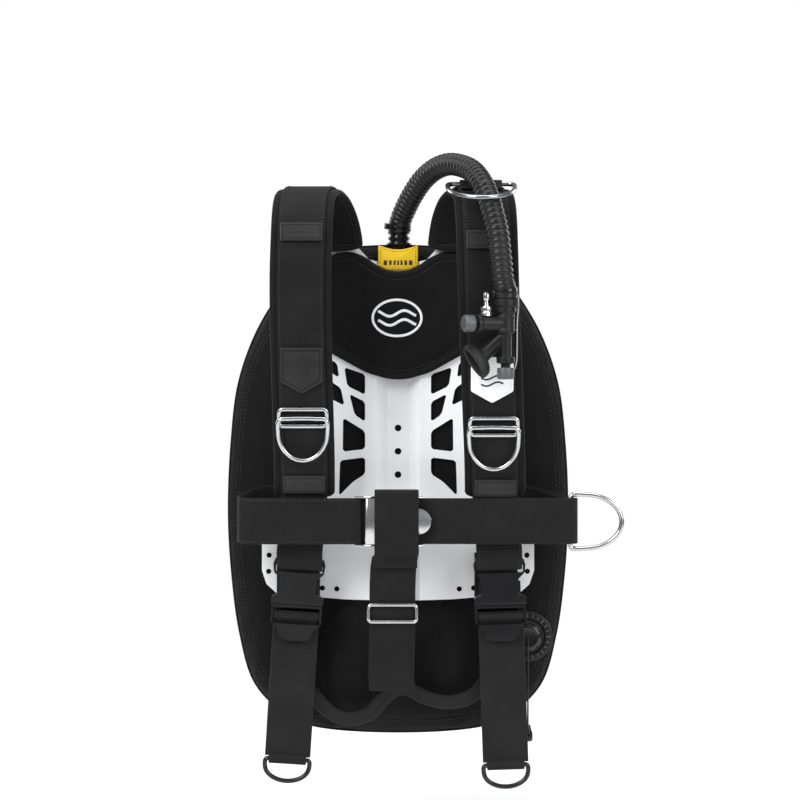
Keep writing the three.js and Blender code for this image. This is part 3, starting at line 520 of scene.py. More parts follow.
def applied(made):
    """The object's mesh with its modifiers in it."""
    bpy.context.view_layer.update()
    graph = bpy.context.evaluated_depsgraph_get()
    data = bpy.data.meshes.new_from_object(made.evaluated_get(graph))
    made.modifiers.clear()
    made.data = data
    data.polygons.foreach_set("use_smooth", [True] * len(data.polygons))
    return made


def fused(made, voxel, rounds=2):
    """One moulded skin over joined solids."""
    remesh = made.modifiers.new("remesh", "REMESH")
    remesh.mode, remesh.voxel_size = "VOXEL", voxel * MM
    smooth = made.modifiers.new("smooth", "SMOOTH")
    smooth.iterations = rounds
    return applied(made)


def subdivided(made):
    smooth = made.modifiers.new("smooth", "SUBSURF")
    smooth.levels = smooth.render_levels = 1


def refined(name, node, body, material, bevel, segments=2, moulded=True):
    """Stands in for a CAD piece with its sharp edges eased, its faces kept flat where it is moulded."""
    mesh = bmesh.new()
    mesh.from_mesh(nodes[node].data)
    bmesh.ops.remove_doubles(mesh, verts=mesh.verts, dist=2e-6)
    data = bpy.data.meshes.new(name)
    mesh.to_mesh(data)
    mesh.free()
    made = bpy.data.objects.new(name, data)
    scene.collection.objects.link(made)
    ease = made.modifiers.new("ease", "BEVEL")
    ease.width, ease.segments = bevel * MM, segments
    ease.limit_method, ease.angle_limit = "ANGLE", math.radians(32)
    data.polygons.foreach_set("use_smooth", [True] * len(data.polygons))
    ease.harden_normals = not moulded
    if moulded:
        even = made.modifiers.new("even", "WEIGHTED_NORMAL")
        even.mode, even.weight, even.keep_sharp = "FACE_AREA", 100, False
    return put(applied(made), body, material, node)


def stitches(name, lines, length=2.6, gap=1.1, radius=0.32, sink=0.05):
    """Rows of thread, each stitch a short rounded bead along its line. lines holds (points, normals)."""
    points, faces = [], []
    bead = skin(6, 5)
    for places, normals in lines:
        run = np.concatenate([[0], np.cumsum(np.linalg.norm(np.diff(places, axis=0), axis=1))])
        at = 0.6
        while at + length < run[-1]:
            a, b = (np.array([np.interp(q, run, places[:, k]) for k in range(3)]) for q in (at, at + length))
            n = unit(np.array([np.interp(at, run, normals[:, k]) for k in range(3)]))
            t = unit(b - a)
            s = np.cross(t, n)
            start = len(points)
            for share, r in ((0, 0.35), (0.2, 0.95), (0.5, 1.1), (0.8, 0.95), (1, 0.35)):
                middle = a + (b - a) * share + n * (radius * (0.5 if 0 < share < 1 else -0.2) - sink)
                points += [middle + (s * math.cos(g) + n * math.sin(g)) * radius * r for g in angles(6)]
            faces += [tuple(start + i for i in face) for face in bead]
            at += length + gap
    return shape(name, points, faces)


def facing(points, normal):
    """A stitch line whose thread all faces one way."""
    return np.array(points), np.tile(list(normal), (len(points), 1))


def swell(made, cap, pressure, still=None, frames=20):
    """Blows a closed fabric form up with Cloth, no point moving further than cap millimetres."""
    before = np.array([v.co for v in made.data.vertices])
    cloth = made.modifiers.new("cloth", "CLOTH")
    settings = cloth.settings
    settings.quality = 5
    settings.use_pressure = True
    settings.uniform_pressure_force = pressure
    settings.effector_weights.gravity = 0
    settings.tension_stiffness = settings.compression_stiffness = 12
    if still is not None:
        group = made.vertex_groups.new(name="held")
        for i, co in enumerate(before):
            weight = float(still(co / MM))
            if weight > 0:
                group.add([i], weight, "REPLACE")
        settings.vertex_group_mass = "held"
    cloth.point_cache.frame_start, cloth.point_cache.frame_end = 1, frames
    for number in range(1, frames + 1):
        scene.frame_set(number)
    graph = bpy.context.evaluated_depsgraph_get()
    result = made.evaluated_get(graph).to_mesh()
    after = np.array([v.co for v in result.vertices])
    made.modifiers.remove(cloth)
    scene.frame_set(1)
    moved = after - before
    far = np.linalg.norm(moved, axis=1, keepdims=True)
    moved *= np.tanh(far / (cap * MM)) * cap * MM / np.maximum(far, 1e-9)
    made.data.vertices.foreach_set("co", (before + moved).astype(np.float32).ravel())
    made.data.update()
    return made


def against(made, points, direction, lift=0.0):
    """The points carried along a direction onto a piece, then lifted back off it, in millimetres."""
    bpy.context.view_layer.update()
    out = []
    d = Vector(direction)
    for p in points:
        start = Vector(p) * MM - d * 0.2
        hit, place, _, _ = made.ray_cast(start, d)
        out.append(tuple(place / MM - d * lift) if hit else tuple(p))
    return np.array(out)


# ---------- straps, each on its CAD solid's own line ----------
def spine(node, width, thickness, side, start):
    """The centre line of a CAD strap and the direction of its width, ring by ring, in millimetres."""
    mesh = bmesh.new()
    mesh.from_mesh(nodes[node].data)
    bmesh.ops.remove_doubles(mesh, verts=mesh.verts, dist=2e-6)
    mesh.verts.ensure_lookup_table()
    across = [e for e in mesh.edges if abs(e.calc_length() / MM - width) < 0.012]
    owner = {v.index: i for i, e in enumerate(across) for v in e.verts}
    middles = [(e.verts[0].co + e.verts[1].co) / 2 / MM for e in across]
    links = {(min(a, b), max(a, b)) for e in mesh.edges
             for a, b in [[owner.get(v.index, -1) for v in e.verts]] if a != b and min(a, b) >= 0}
    pair = {}
    for a, b in sorted(links, key=lambda k: abs((middles[k[0]] - middles[k[1]]).length - thickness)):
        if a not in pair and b not in pair:
            pair[a], pair[b] = b, a
    ring = {a: min(a, pair[a]) for a in pair}
    near = {}
    for a, b in links:
        if a in ring and b in ring and ring[a] != ring[b]:
            near.setdefault(ring[a], set()).add(ring[b])
            near.setdefault(ring[b], set()).add(ring[a])
    centre = {r: (middles[r] + middles[pair[r]]) / 2 for r in near}
    ends = [r for r in near if len(near[r]) == 1] or list(near)
    order = [min(ends, key=lambda r: (centre[r] - Vector(start)).length)]
    while True:
        left = [r for r in near[order[-1]] if r not in order]
        if not left:
            break
        order.append(min(left, key=lambda r: (centre[r] - centre[order[-1]]).length))
    sides = []
    for r in order:
        d = (across[r].verts[0].co - across[r].verts[1].co).normalized()
        sides.append(d if d.dot(Vector(side)) > 0 else -d)
    mesh.free()
    return [centre[r] for r in order], sides


WEB, WEB_THICKNESS = 50.0, 2.5
RIB = 3.4  # pitch of the harness webbing's ribs
FLAT_RIB = 2.6  # and of the smoother webbing's
RIB_STEPS = 4


def ribbed(pitch, depth, length, taper=0.0):
    """Ribs across a strap, which thins over its ends where it has a taper."""
    def change(u, h, v):
        wave = np.abs(np.sin(math.pi * v / pitch)) ** 0.6
        h = np.sign(h) * (np.abs(h) - depth * (1 - wave) * (np.abs(h) > 0.2))
        if taper:
            end = np.minimum(v, length - v)
            h = h * np.sqrt(np.clip(end / taper, 0.12, 1))
        return u, h
    return change


def strap(name, node, body, side, start, width=WEB, thickness=WEB_THICKNESS, closed=False, pitch=RIB,
          depth=0.5, material="webbing", fine=RIB_STEPS, twist=0.0):
    """Ribbed webbing on the line of its CAD solid, turned by twist degrees between its ends."""
    places, sides = spine(node, width, thickness, side, start)
    track = Track(places, pitch / fine, sides, closed)
    if twist:
        ends = np.clip(np.minimum(track.v, track.length - track.v) / 60, 0, 1)
        angle = (math.radians(twist) * ends**2 * (3 - 2 * ends))[:, None]
        track.s, track.n = (track.s * np.cos(angle) + track.n * np.sin(angle),
                            track.n * np.cos(angle) - track.s * np.sin(angle))
    ribs = ribbed(pitch, depth, track.length, taper=0.0 if closed else 0.8)
    made = put(sweep(name, track, flat_section(width, thickness), ribs), body, material, node)
    return made, track


def hems(name, track, start, end=None, inset=2.6):
    """The stitch rows along both edges of a strap's outer face."""
    half = WEB / 2 - inset
    lines = [track.line(u, WEB_THICKNESS / 2, start, end) for u in (-half, half)]
    return put(stitches(name, lines), "root", "thread")


PAD_X = 70  # the middle of each shoulder pad at its upper end
LOOP_WEB = 48
tracks = {}
for side, sign in SIDES.items():
    _, tracks[f"shoulder_{side}"] = strap(f"shoulder_strap_{side}", f"shoulder_webbing_{side}", "root", X,
                                          (PAD_X * sign, -42, 225))
for side, sign in SIDES.items():
    _, tracks[f"belt_{side}"] = strap(f"belt_{side}", f"waist_belt_{side}", "root", Z,
                                      (100 * sign, -36, -60), pitch=FLAT_RIB)
_, loop_track = strap("crotch_loop_webbing", "crotch_loop", "root", X, (-1.5, -110, -75), LOOP_WEB,
                      closed=True, pitch=FLAT_RIB)
_, crotch_track = strap("crotch_webbing", "crotch_strap", "root", X, (-3, -101, -112))
strap("leg_webbing", "crotch_leg_straps", "root", Y, (-113, -53, -193), 22, twist=-48)
strap("ring_keeper_webbing", "shoulder_ring_keeper", "root", X, (90, -80, 300), 46, 1.6, pitch=FLAT_RIB,
      depth=0.2)
for level in ("upper", "lower"):
    strap(f"band_{level}", f"tank_band_{level}", "root", Z, (0, -11, 85), closed=True, fine=3)
for side, sign in SIDES.items():
    strap(f"tail_{side}", f"pull_strap_{side}", f"plug_{side}", X, (110 * sign, -74, -176), thickness=3.0,
          material="tail")
    made, track = strap(f"anchor_{side}", f"anchor_webbing_{side}", None, X, (110 * sign, -36, -112), 48)
    high, low = sorted((Vector(track.p[i]) * MM for i in (0, -1)), key=lambda p: -p.z)
    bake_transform(made)

# The seam that joins the crotch strap to its loop, and the fold of each tail round its ring's bar
foot = Vector(loop_track.p[np.argmin(loop_track.p[:, 2])])
head = Vector(crotch_track.p[0])
seam = [(foot.x, head.y - 11.2, foot.z + 7), (foot.x, head.y - 10.6, foot.z - 0.5)]
seam += [(head.x, head.y - forward, head.z - drop) for forward, drop in ((5, 1), (2.9, 7), (3.2, 13))]
seam_track = Track(seam, RIB / RIB_STEPS, X)
seam_ribs = ribbed(RIB, 0.4, seam_track.length)
put(sweep("loop_seam", seam_track, flat_section(LOOP_WEB, 2), seam_ribs), "root", "webbing")
for side in SIDES:
    joint = joints[f"pull_ring_{side}_swing"]
    at, axis = Vector(joint["pos_m"]) / MM, Vector(joint["axis"])
    down = Y.cross(axis)
    around = [at + (Y * math.cos(a) + down * math.sin(a)) * 4.3 for a in angles(16)]
    fold = Track(around, RIB / RIB_STEPS, axis, closed=True)
    put(sweep(f"tail_fold_{side}", fold, flat_section(41, 2)), f"plug_{side}", "tail")


# ---------- backplate ----------
refined("plate", "backplate", "root", "plate", 0.7, 3)
seat_low, seat_high = span("tank_seat_pad")
seat_middle = (seat_low + seat_high) / 2
rear = Seat((seat_middle.x, seat_low.y, seat_middle.z), X, -Z)
corners = box_corners(seat_high.x - seat_low.x, seat_high.z - seat_low.z)
pad_rings = [(cornered(corners, 1, 8), 0), (cornered(corners, 0, 8), 1), (cornered(corners, 0, 8), 4),
             (cornered(corners, 0.8, 8), 4.8)]
for rib_inset in range(3, 27, 4):
    pad_rings += [(cornered(corners, rib_inset, 8), 5), (cornered(corners, rib_inset + 0.6, 8), 4),
                  (cornered(corners, rib_inset + 1.6, 8), 4), (cornered(corners, rib_inset + 2.2, 8), 5)]
put(loft("seat_pad", rear, pad_rings), "root", "rubber", "tank_seat_pad")

# ---------- wing ----------
wing_low, wing_high = span("wing_cover")
WING_HALF, WING_TOP, WING_BOTTOM = wing_high.x, wing_high.z, wing_low.z
PLATE_BACK = span("backplate")[1].y
WING_FRONT = PLATE_BACK - 13 + 0.3
WING_BACK = wing_high.y
WING_MIDDLE = (WING_FRONT + WING_BACK) / 2
PANEL_FRONT, PANEL_BACK = PLATE_BACK + 0.3, seat_low.y - 0.3
WING_SIDE = [(30, WING_TOP), (72, 224), (108, 205), (136, 170), (160, 128), (178, 75), (WING_HALF - 3, 10),
             (WING_HALF, -70), (WING_HALF - 4, -140), (WING_HALF - 13, -205), (160, -258), (132, -288),
             (92, WING_BOTTOM)]
wing_points = [(x, z, 0) for x, z in WING_SIDE] + [(-x, z, 0) for x, z in WING_SIDE[::-1]]
wing_round = spline(wing_points, True, 24)[:, :2]
WING_Z = -35  # the height that its rings draw in to
BULGES = ((-46, -228, 46, 60), (52, -226, 44, 57))  # middle x and z, then half width and half height


def smooth_step(a, b, x):
    t = min(1, max(0, (x - a) / (b - a)))
    return t * t * (3 - 2 * t)


def disc(outline, centre, rims, height_of, seam=WING_MIDDLE):
    """A closed form over an outline: rings drawn in to the centre, each point's depth from height_of."""
    k = len(outline)
    points, faces = [], []
    for front in (True, False):
        for r in rims if front else rims[1:]:
            for x, z in outline:
                px, pz = centre[0] + (x - centre[0]) * r, centre[1] + (z - centre[1]) * r
                gap = math.hypot(x - px, z - pz)
                points.append((px, seam if r == 1 else height_of(px, pz, gap, front), pz))
        points.append((centre[0], height_of(*centre, 999, front), centre[1]))
    layer = len(rims) * k + 1

    def index(front, j, i):
        if front or j == 0:
            return j * k + i % k
        return layer + (j - 1) * k + i % k

    for front in (True, False):
        for j in range(len(rims) - 1):
            here, inner = ([index(front, q, i) for i in range(k + 1)] for q in (j, j + 1))
            faces += [(here[i], here[i + 1], inner[i + 1], inner[i]) for i in range(k)]
        tip = layer - 1 if front else layer + (len(rims) - 1) * k
        faces += [(index(front, len(rims) - 1, i), index(front, len(rims) - 1, i + 1), tip) for i in range(k)]
    return points, faces


def wing_height(x, z, gap, front):
    """The wing's depth at (x, z), gap millimetres in from its seam: a swollen rim with puckers at the seam,
    flat behind the plate, with two bulges below it."""
    swellness = math.sqrt(max(0.0, 1 - (1 - min(gap / 34, 1)) ** 2))
    angle = math.atan2(z + 40, x)
    drift = noise.noise(Vector((x, z, 9 if front else 40)) * 0.018)
    wander = 5 * noise.noise(Vector((x, z, 3)) * 0.03)
    pucker = math.sin(angle * 58 + wander) * math.exp(-gap / 11) * min(gap / 4, 1)
    crease = noise.noise(Vector((x * 0.02 + z * 0.011, z * 0.007 - x * 0.012, 2))) ** 2
    soft = 1.1 * drift * min(gap / 20, 1) + 0.9 * pucker - 2.2 * crease * min(gap / 18, 1)
    if front:
        y = WING_MIDDLE - (WING_MIDDLE - WING_FRONT - 1.2) * swellness
        free = smooth_step(100, 125, abs(x)) + smooth_step(-168, -190, z)
        y -= soft * min(1, free) * 0.9
        inside = (1 - smooth_step(15, 29, abs(x))) * smooth_step(-178, -168, z)
        inside *= 1 - smooth_step(212, 222, z)
        y = y + (PANEL_FRONT + 0.3 - y) * inside
        for bx, bz, rx, rz in BULGES:
            q = ((x - bx) / rx) ** 2 + ((z - bz) / rz) ** 2
            if q < 1:
                y = min(y, y - 15.5 * (1 - q) ** 0.72 + 0.6 * drift)
        return y
    y = WING_MIDDLE + (WING_BACK - WING_MIDDLE - 1.2) * swellness + soft * 0.9
    inside = (1 - smooth_step(66, 84, abs(x))) * (1 - smooth_step(178, 196, z))
    return y + (PANEL_BACK - 0.3 - y) * inside


def wing_held(co):
    """Behind the plate and at the seam the wing keeps its shape."""
    return (abs(co[0]) < 108 and co[2] > -175) or abs(co[1] - WING_MIDDLE) < 3


rims = [1 - t for t in (0, 0.004, 0.01, 0.018, 0.028, 0.04, 0.055, 0.072, 0.09)]
rims += list(np.linspace(0.89, 0.02, 56))
wing = fused(shape("wing", *disc(wing_round, (0, WING_Z), rims, wing_height)), 4.0, 1)
swell(wing, 3.0, 3.0, wing_held)
subdivided(wing)
put(wing, "root", "cloth", ("wing_cover", "wing_bladder"))

edge = Track([(x, WING_MIDDLE, z) for x, z in wing_round], 2.5, Y, closed=True)
put(sweep("wing_piping", edge, oval(2.1, 1.7, 10)), "root", "binding")
for face, h in (("front", -1), ("back", 1)):
    lines = []
    for r in (0.955, 0.935):
        row = [(x * r, WING_MIDDLE, WING_Z + (z - WING_Z) * r) for x, z in wing_round[::3]]
        lines.append(facing(against(wing, row + row[:1], (0, -h, 0)), (0, h, 0)))
    put(stitches(f"wing_stitches_{face}", lines, 3.0, 1.6, 0.3), "root", "thread")

# ---------- yoke ----------
yoke_low, yoke_high = span("yoke_pad")
YOKE_SIDE = [(0, 198), (16, 200), (27, 206), (39, 215), (52, 221), (66, 221), (88, 212), (92, 196), (90, 132),
             (78, 112), (60, 102), (35, 88), (12, 81)]
yoke_edge = cornered(YOKE_SIDE + [(0, 80)] + [(-x, z) for x, z in YOKE_SIDE[:0:-1]], 0, 5, 4)
yoke_edge = Track([(x, z, 0) for x, z in yoke_edge], 3.0, closed=True, smooth=False).p[:, :2]
YOKE_MIDDLE = (yoke_low.y + yoke_high.y) / 2
YOKE_Z = 150


def yoke_height(x, z, gap, front):
    rise = math.sqrt(max(0.0, 1 - (1 - min(gap / 7, 1)) ** 2))
    seam = math.exp(-((gap - 9) / 1.6) ** 2)
    soft = 0.7 * noise.noise(Vector((x, z, 21)) * 0.035)
    fold = 1.1 * math.exp(-((x * (1 if x > 0 else -1) * 0.6 - (z - 96) * 0.8 - 30) / 5) ** 2) * (z < 150)
    if front:
        return YOKE_MIDDLE - (3.6 + soft * min(gap / 14, 1)) * rise + 1.5 * seam + fold * 0.6 * rise
    return YOKE_MIDDLE + 3.6 * rise


yoke_rims = [1, 0.99, 0.975, 0.955, 0.93, 0.9, 0.87, 0.84, 0.8] + list(np.linspace(0.75, 0.03, 22))
yoke = fused(shape("yoke", *disc(yoke_edge, (0, YOKE_Z), yoke_rims, yoke_height, YOKE_MIDDLE)), 1.8, 1)
swell(yoke, 1.2, 3.0, lambda co: abs(co[1] - YOKE_MIDDLE) < 1.6 or co[1] > YOKE_MIDDLE + 2)
subdivided(yoke)
put(yoke, "root", "cloth", "yoke_pad")
inner = [(x * 0.955, YOKE_Z + (z - YOKE_Z) * 0.94) for x, z in yoke_edge]
around = [(b[0] - a[0], 0, b[1] - a[1]) for a, b in zip(inner, inner[2:] + inner[:2])]
outwards = [(a[2], 0, -a[0]) for a in around]
outwards = [tuple(c * (1 if o[0] * x + o[2] * (z - YOKE_Z) > 0 else -1) for c in o)
            for o, (x, z) in zip(outwards, inner[1:] + inner[:1])]
binding_route = [(x, YOKE_MIDDLE, z) for x, z in inner[1:] + inner[:1]]
binding_track = Track(binding_route, 2.5, unit(np.array(outwards, float)), True)
put(sweep("yoke_binding", binding_track, oval(4.6, 3.9, 20)), "root", "binding")
points = against(yoke, binding_track.line(-4.9, 0)[0], Y)
put(stitches("yoke_stitches", [facing([*points, points[0]], FRONT)]), "root", "thread")

# The eyelet at the wing's foot
hole = [(-43 + u, -100, -299.4 + w) for u, w in oval(4.6, 2.9, 24)]
hole_track = Track(against(wing, hole, Y, 0.4), 0.8, FRONT, True)
put(sweep("wing_eyelet", hole_track, oval(0.9, 0.9, 10)), "root", "steel")

# A plain device on the yoke: an oval ring with two waves in it
emblem = Seat((-1, yoke_low.y, 148), X, Z)
ring = [emblem(u, w, 0) for u, w in oval(27, 20, 48)]
parts = [sweep("ring", Track(against(yoke, ring, Y, 0.2), 1.5, FRONT, True), oval(0.6, 1.4, 12))]
for lift in (-5, 5):
    wave = [emblem(u, lift + 3.2 * math.sin(u / 5.2), 0) for u in np.linspace(-21, 21, 40)]
    parts.append(sweep("wave", Track(against(yoke, wave, Y, 0.2), 1.2, FRONT), oval(0.6, 1.5, 12)))
put(joined("yoke_emblem", parts), "root", "badge")

# ---------- flap under the elbow ----------
flap_high = span("elbow_flap")[1]
flap_seat = Seat((0, flap_high.y, 0), X, Z)
flap_top = [(u, flap_high.z - 5 * math.cos(u / 22 * math.pi / 2)) for u in (22, 16, 10, 4, -4, -10, -16, -22)]
flap_outline = [(-22, 206), (-12, 201.5), (12, 201.5), (22, 206), *flap_top]
put(plaque("flap", flap_seat, flap_outline, 2.2, 1.2, edge=0.8), "root", "yellow", "elbow_flap")
rows = [facing([flap_seat(u, z, 2.2) for z in (208, 215, 221, 226)], FRONT) for u in (-19.6, 19.6)]
rows.append(facing([flap_seat(u * 0.93, z - 2.2, 2.2) for u, z in flap_top], FRONT))
put(stitches("flap_stitches", rows, 2.2, 1.0, 0.28), "root", "print")
print_seat = Seat((0, flap_high.y - 2.1, 0), X, Z)
bars = [bar_at(print_seat, u, 209.5, width, 5.2, 0.35, 0.5, 0.12)
        for u, width in ((-14, 4), (-8.5, 3), (-3.8, 2.4), (0, 2), (3.8, 2.4), (8.5, 3), (14, 4))]
put(joined("flap_print", bars), "root", "print")

# ---------- shoulder pads ----------
PAD_W, PAD_T, BIND = 66, 8, 9
for side, sign in SIDES.items():
    places, sides = spine(f"shoulder_pad_{side}", PAD_W, PAD_T, X, (PAD_X * sign, -42, 225))
    track = Track(places, 4.0, sides)
    core = [(u, 3.7 * math.sqrt(max(0, 1 - (u / 29.2) ** 6))) for u in np.linspace(-29, 29, 17)]
    core = core + [(u, -h) for u, h in core[::-1]]

    def rounded_ends(u, h, v, length=track.length):
        end = np.minimum(v, length - v)
        k = np.sqrt(np.clip(1 - (1 - np.clip(end / 7, 0, 1)) ** 2, 0.02, 1))
        dimple = 1 - 0.10 * (1 + np.cos(v / 26 * 2 * np.pi)) / 2 * (h < 0)
        return u * (0.9 + 0.1 * k), h * k * dimple

    pad = sweep(f"pad_{side}", track, core, rounded_ends)
    swell(pad, 0.9, 3.0)
    subdivided(pad)
    put(pad, "root", "padding", f"shoulder_pad_{side}")
    half = PAD_W / 2 - BIND / 2
    route, across = [], []
    rim = list(zip(track.p, track.s))
    for p, s in rim[1:-1]:
        route.append(p + s * half)
        across.append(s)
    for sgn, (p, s), t in ((1, rim[-1], track.t[-1]), (-1, rim[0], -track.t[0])):
        turn = [(math.cos(a), math.sin(a)) for a in np.linspace(0.25, math.pi - 0.25, 9)]
        for c, d in turn:
            route.append(p + s * half * c * sgn * 0.98 + t * (d * 2.5 - 3.2))
            across.append(s * c * sgn + t * d)
        if sgn == 1:
            for p, s in rim[-2:0:-1]:
                route.append(p - s * half)
                across.append(-s)
    bind = Track(route, 2.5, across, closed=True)

    def tape(u, h, v):
        return u, h * (1 + 0.03 * np.sin(v / 6.5))

    ridge = [(-4.5, 2.1), (-3.9, 3.0), (-2.6, 3.3), (-0.5, 3.5), (1.8, 3.5), (3.4, 2.9), (4.4, 1.6), (4.7, 0)]
    section = ridge + [(u, -h) for u, h in ridge[-2::-1]]
    put(sweep(f"pad_binding_{side}", bind, section, tape), "root", "binding")
    lines = [bind.line(-3.3, h) for h in (3.2, -3.2)]
    for places, normals in lines:
        if lines[0][0] is not places:
            normals *= -1
    put(stitches(f"pad_stitches_{side}", lines, 2.6, 1.3, 0.3), "root", "thread")

for side in SIDES:
    track = tracks[f"shoulder_{side}"]
    hems(f"shoulder_{side}_hems", track, 4, track.length - 4)
for side in SIDES:
    hems(f"belt_{side}_hems", tracks[f"belt_{side}"], 4)


# ---------- rubber patches and badges ----------
def dots(name, seat, places, radius=1.5, height=0.6, sides=6):
    """Small raised hexagons with soft edges."""
    rings = [[(u + a, w + b) for a, b in oval(radius, radius, sides)] for u, w in places]
    return joined(name, [plaque("dot", seat, ring, height, 0.4, edge=0.25) for ring in rings])


for side in SIDES:
    for which in ("upper", "lower"):
        seat = seat_of(f"{which}_patch_{side}")
        tab = plaque(f"{which}_tab_{side}", seat, box_corners(46, 20), 2.0, 2.2, border=2.2, edge=0.5)
        put(tab, "root", "rubber", f"{which}_patch_{side}")
        spots = [(u, 0) for u in (-12, -6, 0, 6, 12)]
        raised = Seat(seat(0, 0, 1.9), seat.u, seat.w)
        put(dots(f"{which}_tab_dots_{side}", raised, spots), "root", "rubber")
BADGE = [(23, 25), (-23, 25), (-23, -12), (0, -25), (23, -12)]
seat = seat_of("badge_right")
put(plaque("shield_right", seat, BADGE, 2.0, 2.0, border=2.6, groove=0.7), "root", "rubber", "badge_right")
line = Seat(seat(0, 0, 1.8), seat.u, seat.w)
bars = [bar_at(line, 0, 8, 38, 1.2, 0.7, 0.3, 0.2)]
bars += [bar_at(line, 0, w, 18, 1.6, 0.6, 0.4, 0.2) for w in (14.5, -2)]
put(joined("shield_lines_right", bars), "root", "rubber")
seat = seat_of("badge_left")
put(plaque("shield_left", seat, BADGE, 2.0, 2.0, border=2.6, groove=0.5), "root", "badge", "badge_left")
mark = Seat(seat(0, 0, 1.85), seat.u, seat.w)
marks = []
for w in (3, -4):
    wave = [mark(u, w + 2.2 * math.sin(u / 4), 0) for u in np.linspace(-12, 12, 26)]
    marks.append(sweep("mark", Track(wave, 1.0, FRONT), oval(0.5, 1.1, 10)))
put(joined("shield_marks_left", marks), "root", "print")


# ---------- steel rings and frames ----------
def wire_frame(name, node, body, seat, width, height, bar, thickness, radius):
    """A rounded rectangle of flattened steel wire."""
    corners = [tuple(c) for c in cornered(box_corners(width - bar, height - bar), 0, radius, 6)]
    route = [seat(u, w, thickness / 2) for u, w in corners]
    k = len(route)
    sides = []
    for i in range(k):
        along = (route[(i + 1) % k] - route[i - 1]).normalized()
        sides.append(along.cross(seat.n))
    track = Track(route, 1.2, sides, closed=True, smooth=False)
    return put(sweep(name, track, oval(bar / 2, thickness / 2, 18)), body, "steel", node)


def d_ring(name, node, joint, width, height, radius, side, material="steel"):
    """A D ring hung from the middle of its bar, at its joint."""
    at = Vector(joints[joint]["pos_m"]) / MM
    side = Vector(side)
    co = np.unique(np.array([v.co for v in nodes[node].data.vertices]).round(6), axis=0) / MM
    down = Vector(co.mean(0)) - at
    down = (down - side * down.dot(side)).normalized()
    w, h = width / 2 - radius, height - 2 * radius
    shoulder = h * 0.3
    route = [(-w * 0.5, 0), (w * 0.5, 0), (w * 0.96, shoulder * 0.12)]
    route += [(w * math.cos(g), shoulder + (h - shoulder) * math.sin(g)) for g in angles(16)[:9]]
    route.append((-w * 0.96, shoulder * 0.12))
    track = Track([at + side * u + down * d for u, d in route], 1.0, side.cross(down), closed=True)
    return put(sweep(name, track, oval(radius, radius, 16)), joints[joint]["child"], material, node)


for side in SIDES:
    keeper = f"chest_keeper_{side}"
    wire_frame(f"chest_frame_{side}", keeper, "root", seat_of(keeper), 56, 23, 4.5, 3.0, 4.5)
    d_ring(f"chest_d_{side}", f"chest_ring_{side}", f"chest_ring_{side}_swing", 58, 51, 2.4, X)
d_ring("shoulder_d", "shoulder_ring", "shoulder_ring_swing", 77, 70, 2.5, X, "dark_steel")
d_ring("hip_d", "hip_ring", "hip_ring_swing", 64, 62, 2.6, Z)
for side in SIDES:
    axis = Vector(joints[f"pull_ring_{side}_swing"]["axis"])
    d_ring(f"tail_d_{side}", f"pull_ring_{side}", f"pull_ring_{side}_swing", 54, 29, 2.6, axis, "gloss")

slider_seat = Seat(seat_of("crotch_slider")(0, 0, 0), X, Z)
wire_frame("slider_frame", "crotch_slider", "crotch_slider", slider_seat, 56, 22, 3.6, 3.0, 4)


# ---------- steel buckles ----------
def steel_plate(name, node, body):
    refined(name, node, body, "steel", 0.4, moulded=False)


steel_plate("waist_frame", "waist_buckle_frame", "root")
steel_plate("waist_lever_plate", "waist_buckle_lever", "waist_lever")
for level in ("upper", "lower"):
    steel_plate(f"cam_frame_{level}", f"cam_buckle_frame_{level}", "root")
    steel_plate(f"cam_lever_{level}_plate", f"cam_buckle_lever_{level}", f"cam_lever_{level}")

# ---------- side-release buckles ----------
for side in SIDES:
    material = "plastic" if side == "right" else "gloss"
    refined(f"socket_{side}", f"buckle_socket_{side}", "root", material, 1.1, 3)
    refined(f"plug_{side}_body", f"buckle_plug_{side}", f"plug_{side}", material, 0.8, 3)

# ---------- hose ----------
HOSE_R = 12.5
HOSE = [(1, -7.35, 243.4), (1, -7.35, 249), (3, -10, 258), (7.5, -15, 269), (16, -26, 285), (28, -40, 301.5),
        (42, -56, 312), (56, -72, 315.5), (70, -89, 312), (81, -104, 305), (90, -119.5, 292),
        (97, -132.5, 275), (102, -142, 256), (106.5, -148, 235), (109.5, -149.5, 209), (112, -148, 185),
        (114.7, -146, 173), (115, -146, 165.6)]
CUFF = 17  # the plain length at each end
hose_track = Track(HOSE, 0.62)


def corrugated(u, h, v):
    """Round ridges between plain cuffs."""
    end = np.minimum(v, hose_track.length - v)
    pitch = np.where(v < 0.6 * hose_track.length, 5.6, 6.4)
    wave = np.abs(np.sin(np.pi * v / pitch)) ** 0.42
    radius = np.where(end > CUFF, HOSE_R - 2.3 * (1 - wave), HOSE_R - 0.2 - 0.9 * (end > CUFF - 1.5))
    k = radius / HOSE_R
    return u * k, h * k


put(sweep("hose", hose_track, oval(HOSE_R, HOSE_R, 36), corrugated), "root", "hose", "corrugated_hose")
for name, at, turn in (("elbow", 7, 2.6), ("inflator", hose_track.length - 8, 0.4)):
    i = int(np.argmin(np.abs(hose_track.v - at)))
    p, t = Vector(hose_track.p[i]), Vector(hose_track.t[i])
    band = eased([(HOSE_R - 0.5, -2.4), (HOSE_R + 1.0, -2.4), (HOSE_R + 1.0, 2.4), (HOSE_R - 0.5, 2.4)])
    ring = turned("ring", band, 64, p, t)
    spot = Matrix.Rotation(turn, 3, t) @ t.orthogonal().normalized()
    block = Seat(p + spot * (HOSE_R + 0.6), t.cross(spot), t)
    clasp = plaque("clasp", block, box_corners(6.5, 6.2), 3.4, 0.8, edge=0.5)
    put(joined(f"clamp_{name}", [ring, clasp]), "root", "gloss")

